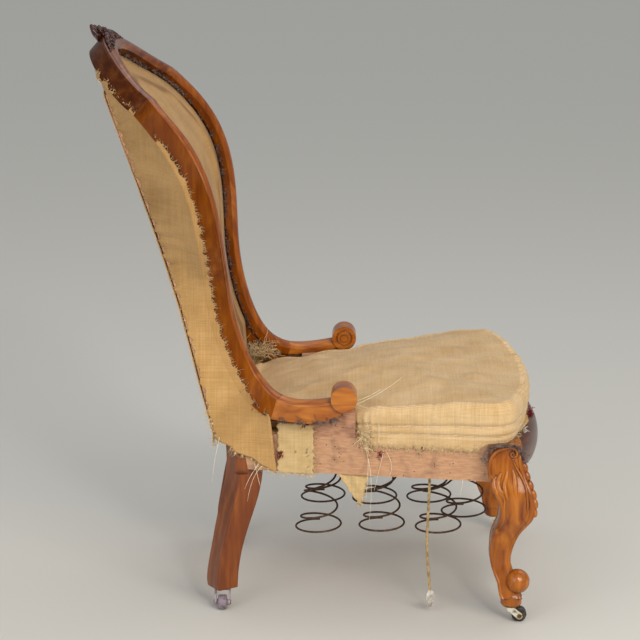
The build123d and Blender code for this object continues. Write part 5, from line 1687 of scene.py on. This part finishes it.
@dataclass
class Remnants:
    """Bits of the old trimmings: grey gimp along the frame's edges, red velvet, and single long threads."""

    line: BackLine
    # first and last station, mm outwards and ahead, count and seed of each line of fluff
    edges: tuple = (
        (0.4, 11.5, -15.5, -20.0, 1700, 200),
        (11.6, 15.4, 19.0, -36.0, 1000, 210),
        (11.6, 15.6, -15.0, -26.0, 320, 220),
    )
    fluff: Fringe = Fringe(0, 0.0026, curl=0.6, thickness=0.9, steps=4)  # as many as the clumps hold
    fluff_spread: float = 0.0012  # metres
    clump: float = 0.03  # metres
    bare: float = -0.35  # height of the ripple below which nothing is left
    arch: Fringe = Fringe(700, (0.0012, 0.002, 0.002), curl=0.5, thickness=0.7, steps=4)
    arch_seed: int = 240
    arch_x: float = 263.0
    arch_y: float = -323.0
    arch_half: float = 31.0
    arch_z: float = 292.0
    arch_rise: float = 31.0
    arch_band: float = 0.3  # share of the arch's size that the fringe is wide
    arch_top: float = 323.0
    # place and size in metres and number of threads of each bit of velvet
    velvet: tuple = (
        ((-0.192, 0.062, 0.283), 0.004, 40),
        ((-0.214, -0.110, 0.290), 0.004, 30),
        ((-0.190, 0.100, 0.372), 0.004, 30),
        ((-0.193, 0.054, 0.365), 0.004, 40),
        ((-0.196, 0.018, 0.340), 0.003, 30),
        ((-0.060, -0.382, 0.322), 0.004, 70),
    )
    chip: Fringe = Fringe(40, 0.0018, thickness=1.6, steps=4)
    chip_spot: tuple = (-0.150, -0.3655, 0.3173)  # metres
    chip_spread: tuple = (0.003, 0.001, 0.002)  # metres
    # start and way of each long thread
    loose: tuple = (
        (-209, -68, 379, 22, -94, 28), (-209, -71, 386, 12, -40, 12), (-213, -87, 304, -8, -6, -112),
        (-213, -90, 303, -7, 2, -94), (-218, -121, 300, -6, -12, -50), (-218, -118, 300, -7, 8, -72),
        (-219, -109, 349, -2, 2, -44), (-182, 167, 312, -4, 4, -78), (-187, 93, 262, -6, 39, -58),
        (-187, 106, 266, -6, -7, -44), (-187, 100, 264, -6, 22, -42), (-236, -253, 254, -3, 1, -26),
    )

    def along(self, edge: tuple, side: Side, number: int) -> Patch:
        """Short fluff in all directions, in clumps at random places along a line on the frame's section.

        Args:
            edge: A line of fluff.
            side: Left or right.
            number: The side's own, which sets the random draws apart.

        Returns:
            The patch.
        """
        first, last, across, ahead, count, seed = edge
        seed += number
        rng = np.random.default_rng(seed)
        spots = self.line.spot(rng.uniform(first, last, count), across, ahead, side)
        spots = spots[ripple(spots, self.clump, seed) > self.bare]
        spots = spots + scatter(rng, len(spots), self.fluff_spread)
        return self.fluff.grow(spots, scatter(rng, len(spots), self.fluff.spread), seed + 1)

    def leg_fringe(self, side: Side, number: int) -> Patch:
        """Torn gimp in an arch over the top of a front leg, where the old cover was nailed.

        Args:
            side: Left or right.
            number: The side's own, which sets the random draws apart.

        Returns:
            The patch.
        """
        seed = self.arch_seed + number
        rng = np.random.default_rng(seed)
        angle = rng.uniform(0, math.pi, self.arch.count)
        reach = 1 + rng.uniform(0, self.arch_band, self.arch.count)
        y = self.arch_y + self.arch_half * reach * np.cos(angle)
        z = np.minimum(self.arch_z + self.arch_rise * reach * np.sin(angle), self.arch_top)
        x = side.value * (self.arch_x + rng.normal(size=self.arch.count) * 0.8)
        return self.arch.grow(np.stack([x, y, z], axis=1) * MM, self.arch.ways(rng), seed + 1)

    def dress(self) -> None:
        """Fluff in the rebates, below the arms and over the legs; velvet, chips and long threads."""
        gimp = [self.along(edge, side, n) for n, side in enumerate(Side) for edge in self.edges]
        gimp += [self.leg_fringe(side, n) for n, side in enumerate(Side)]
        place("gimp_fluff", merge(gimp), GREY_FLUFF)
        rng = np.random.default_rng(230)
        velvet = []
        for spot, size, count in self.velvet:
            starts = scatter(rng, count, np.array([0.4, 0.8, 1.0]) * size, spot)
            pile = Fringe(count, size / 2, thickness=1.4, steps=4)
            velvet.append(pile.grow(starts, pile.ways(rng), 231))
        place("velvet_bits", merge(velvet), RED_VELVET)
        chips = scatter(rng, self.chip.count, self.chip_spread, self.chip_spot)
        place("white_chips", self.chip.grow(chips, self.chip.ways(rng), 232), WHITE_CHIP)
        loose = np.array(self.loose, float) * MM
        strand = Fringe(len(loose), 0.0, curl=0.09, thickness=1.1, steps=14)
        place("long_threads", strand.grow(loose[:, :3], loose[:, 3:], 233), STITCH_THREAD)


@dataclass
class HardParts:
    """The finishes of the CAD solids that show as they are, each with the starts of their names."""

    finishes: tuple = (
        (CREST_WOOD, ("crest_rail",)),
        (STILE_WOOD, ("stile_",)),
        # the arm blocks take the darker beech, whose darkness is painted shade
        (SHADED_BEECH, ("arm_block",)),
        (FORWARD_WOOD, ("arm_",)),
        (LEG_WOOD, ("front_leg_",)),
        (UPRIGHT_WOOD, ("rear_leg_",)),
        (ACROSS_WOOD, ("front_rail",)),
        (RAIL_BEECH, ("side_rail_", "back_rail", "stay_rail", "waist_brace_", "frame_dowels")),
        (RAIL_BEECH, ("front_corner_block_", "rear_corner_block_")),
        (POST_BEECH, ("back_post_",)),
        (BLUED_STEEL, ("block_screws", "tacks")),
        (BRASS, ("caster_plates", "caster_screws", "front_caster_axle_", "rear_caster_axle_")),
        (WHITE_METAL, ("front_caster_fork_",)),
        (DARK_WHEEL, ("front_caster_wheel_",)),
        (LILAC_METAL, ("rear_caster_fork_",)),
        (LILAC_WHEEL, ("rear_caster_wheel_",)),
    )

    def dress(self) -> None:
        """Gives each CAD node the first finish that fits its name."""
        for name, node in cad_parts.items():
            finish = next((finish for finish, starts in self.finishes if name.startswith(starts)), None)
            if finish is not None:
                node.data.materials.clear()
                node.data.materials.append(finish.material())
        log.info("hard parts: %d nodes", len(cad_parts))


@dataclass
class Studio:
    """Pale floor, soft lights and the photograph's camera, in metres, degrees and watts."""

    eye: tuple = (-4.0, -0.049, 1.47)
    pitch: float = 13.94  # down
    yaw: float = 0.62  # towards +Y
    lens: float = 129.15  # mm
    sensor: float = 36.0  # mm
    floor: float = 20.0  # each way
    # place, what it looks at, width, height, watts, colour
    lamps: tuple = (
        ((-3.0, -1.9, 2.1), (0, 0, 0.5), 2.2, 1.8, 78.0, "#FFF3E2"),
        ((-3.3, -1.0, 2.5), (0, 0, 0.6), 0.45, 0.45, 22.0, "#FFFFFF"),
        ((-3.0, 1.9, 1.7), (0, 0, 0.5), 2.4, 2.2, 36.0, "#F4F4FA"),
        ((1.0, -0.6, 3.2), (0, 0, 0.6), 1.8, 1.8, 10.0, "#FFFFFF"),
    )
    ceiling: float = 0.75  # watts per square metre from a broad light straight above
    ceiling_spread: float = 120.0
    sky: str = "#E8ECEE"
    sky_strength: float = 0.34

    def stage(self) -> None:
        """Lays the floor, as one square."""
        corners = [(x * self.floor, y * self.floor, 0.0) for x, y in ((-1, -1), (1, -1), (1, 1), (-1, 1))]
        mesh = bpy.data.meshes.new("floor")
        mesh.from_pydata(corners, [], [(0, 1, 2, 3)])
        mesh.materials.append(PaintedFloor("studio_floor").material())
        link("floor", mesh)

    def light(self) -> None:
        """Hangs the lamps and sets the sky."""
        for n, (spot, target, width, height, watts, colour) in enumerate(self.lamps):
            lamp = bpy.data.lights.new(f"lamp_{n}", "AREA")
            lamp.shape = "RECTANGLE"
            lamp.size, lamp.size_y = width, height
            lamp.energy = watts
            lamp.color = linear(colour)[:3]
            holder = link(lamp.name, lamp)
            holder.location = spot
            holder.rotation_euler = (Vector(target) - Vector(spot)).to_track_quat("-Z", "Y").to_euler()
        broad = bpy.data.lights.new("ceiling", "SUN")
        broad.energy = self.ceiling
        broad.angle = math.radians(self.ceiling_spread)
        link("ceiling", broad)
        world = bpy.data.worlds.new("sky")
        world.use_nodes = True
        sky = world.node_tree.nodes["Background"]
        sky.inputs["Color"].default_value = linear(self.sky)
        sky.inputs["Strength"].default_value = self.sky_strength
        bpy.context.scene.world = world

    def shoot(self) -> None:
        """Sets the camera at the eye, looking along yaw and pitch, with no roll."""
        bpy.context.scene.view_settings.view_transform = "Standard"
        camera = bpy.data.cameras.new("photo_view")
        camera.lens = self.lens
        camera.sensor_width = self.sensor
        pitch, yaw = math.radians(self.pitch), math.radians(self.yaw)
        ahead = Vector((math.cos(pitch) * math.cos(yaw), math.cos(pitch) * math.sin(yaw), -math.sin(pitch)))
        right = ahead.cross(Vector((0, 0, 1))).normalized()
        turn = Matrix((right, right.cross(ahead), -ahead)).transposed()
        holder = link("photo_view", camera)
        holder.matrix_world = Matrix.Translation(self.eye) @ turn.to_4x4()
        bpy.context.scene.camera = holder


def main() -> None:
    """Dresses the chair."""
    logging.basicConfig(level=logging.INFO)
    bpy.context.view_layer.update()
    line = BackLine()
    seat = SeatFrame()
    HardParts().dress()
    HangingCord().dress()
    InsideBack(line).dress()
    for side in Side:
        SidePanel(line, seat, side).dress()
        LegCarving(side).dress()
    for piece in (OutsideBack(seat), SeatPad(seat), RailScraps(seat), SpringCanvas(seat), Springs()):
        piece.dress()
    Cresting(line).dress()
    Remnants(line).dress()
    studio = Studio()
    studio.stage()
    studio.light()
    studio.shoot()


if __name__ == "__main__":
    main()
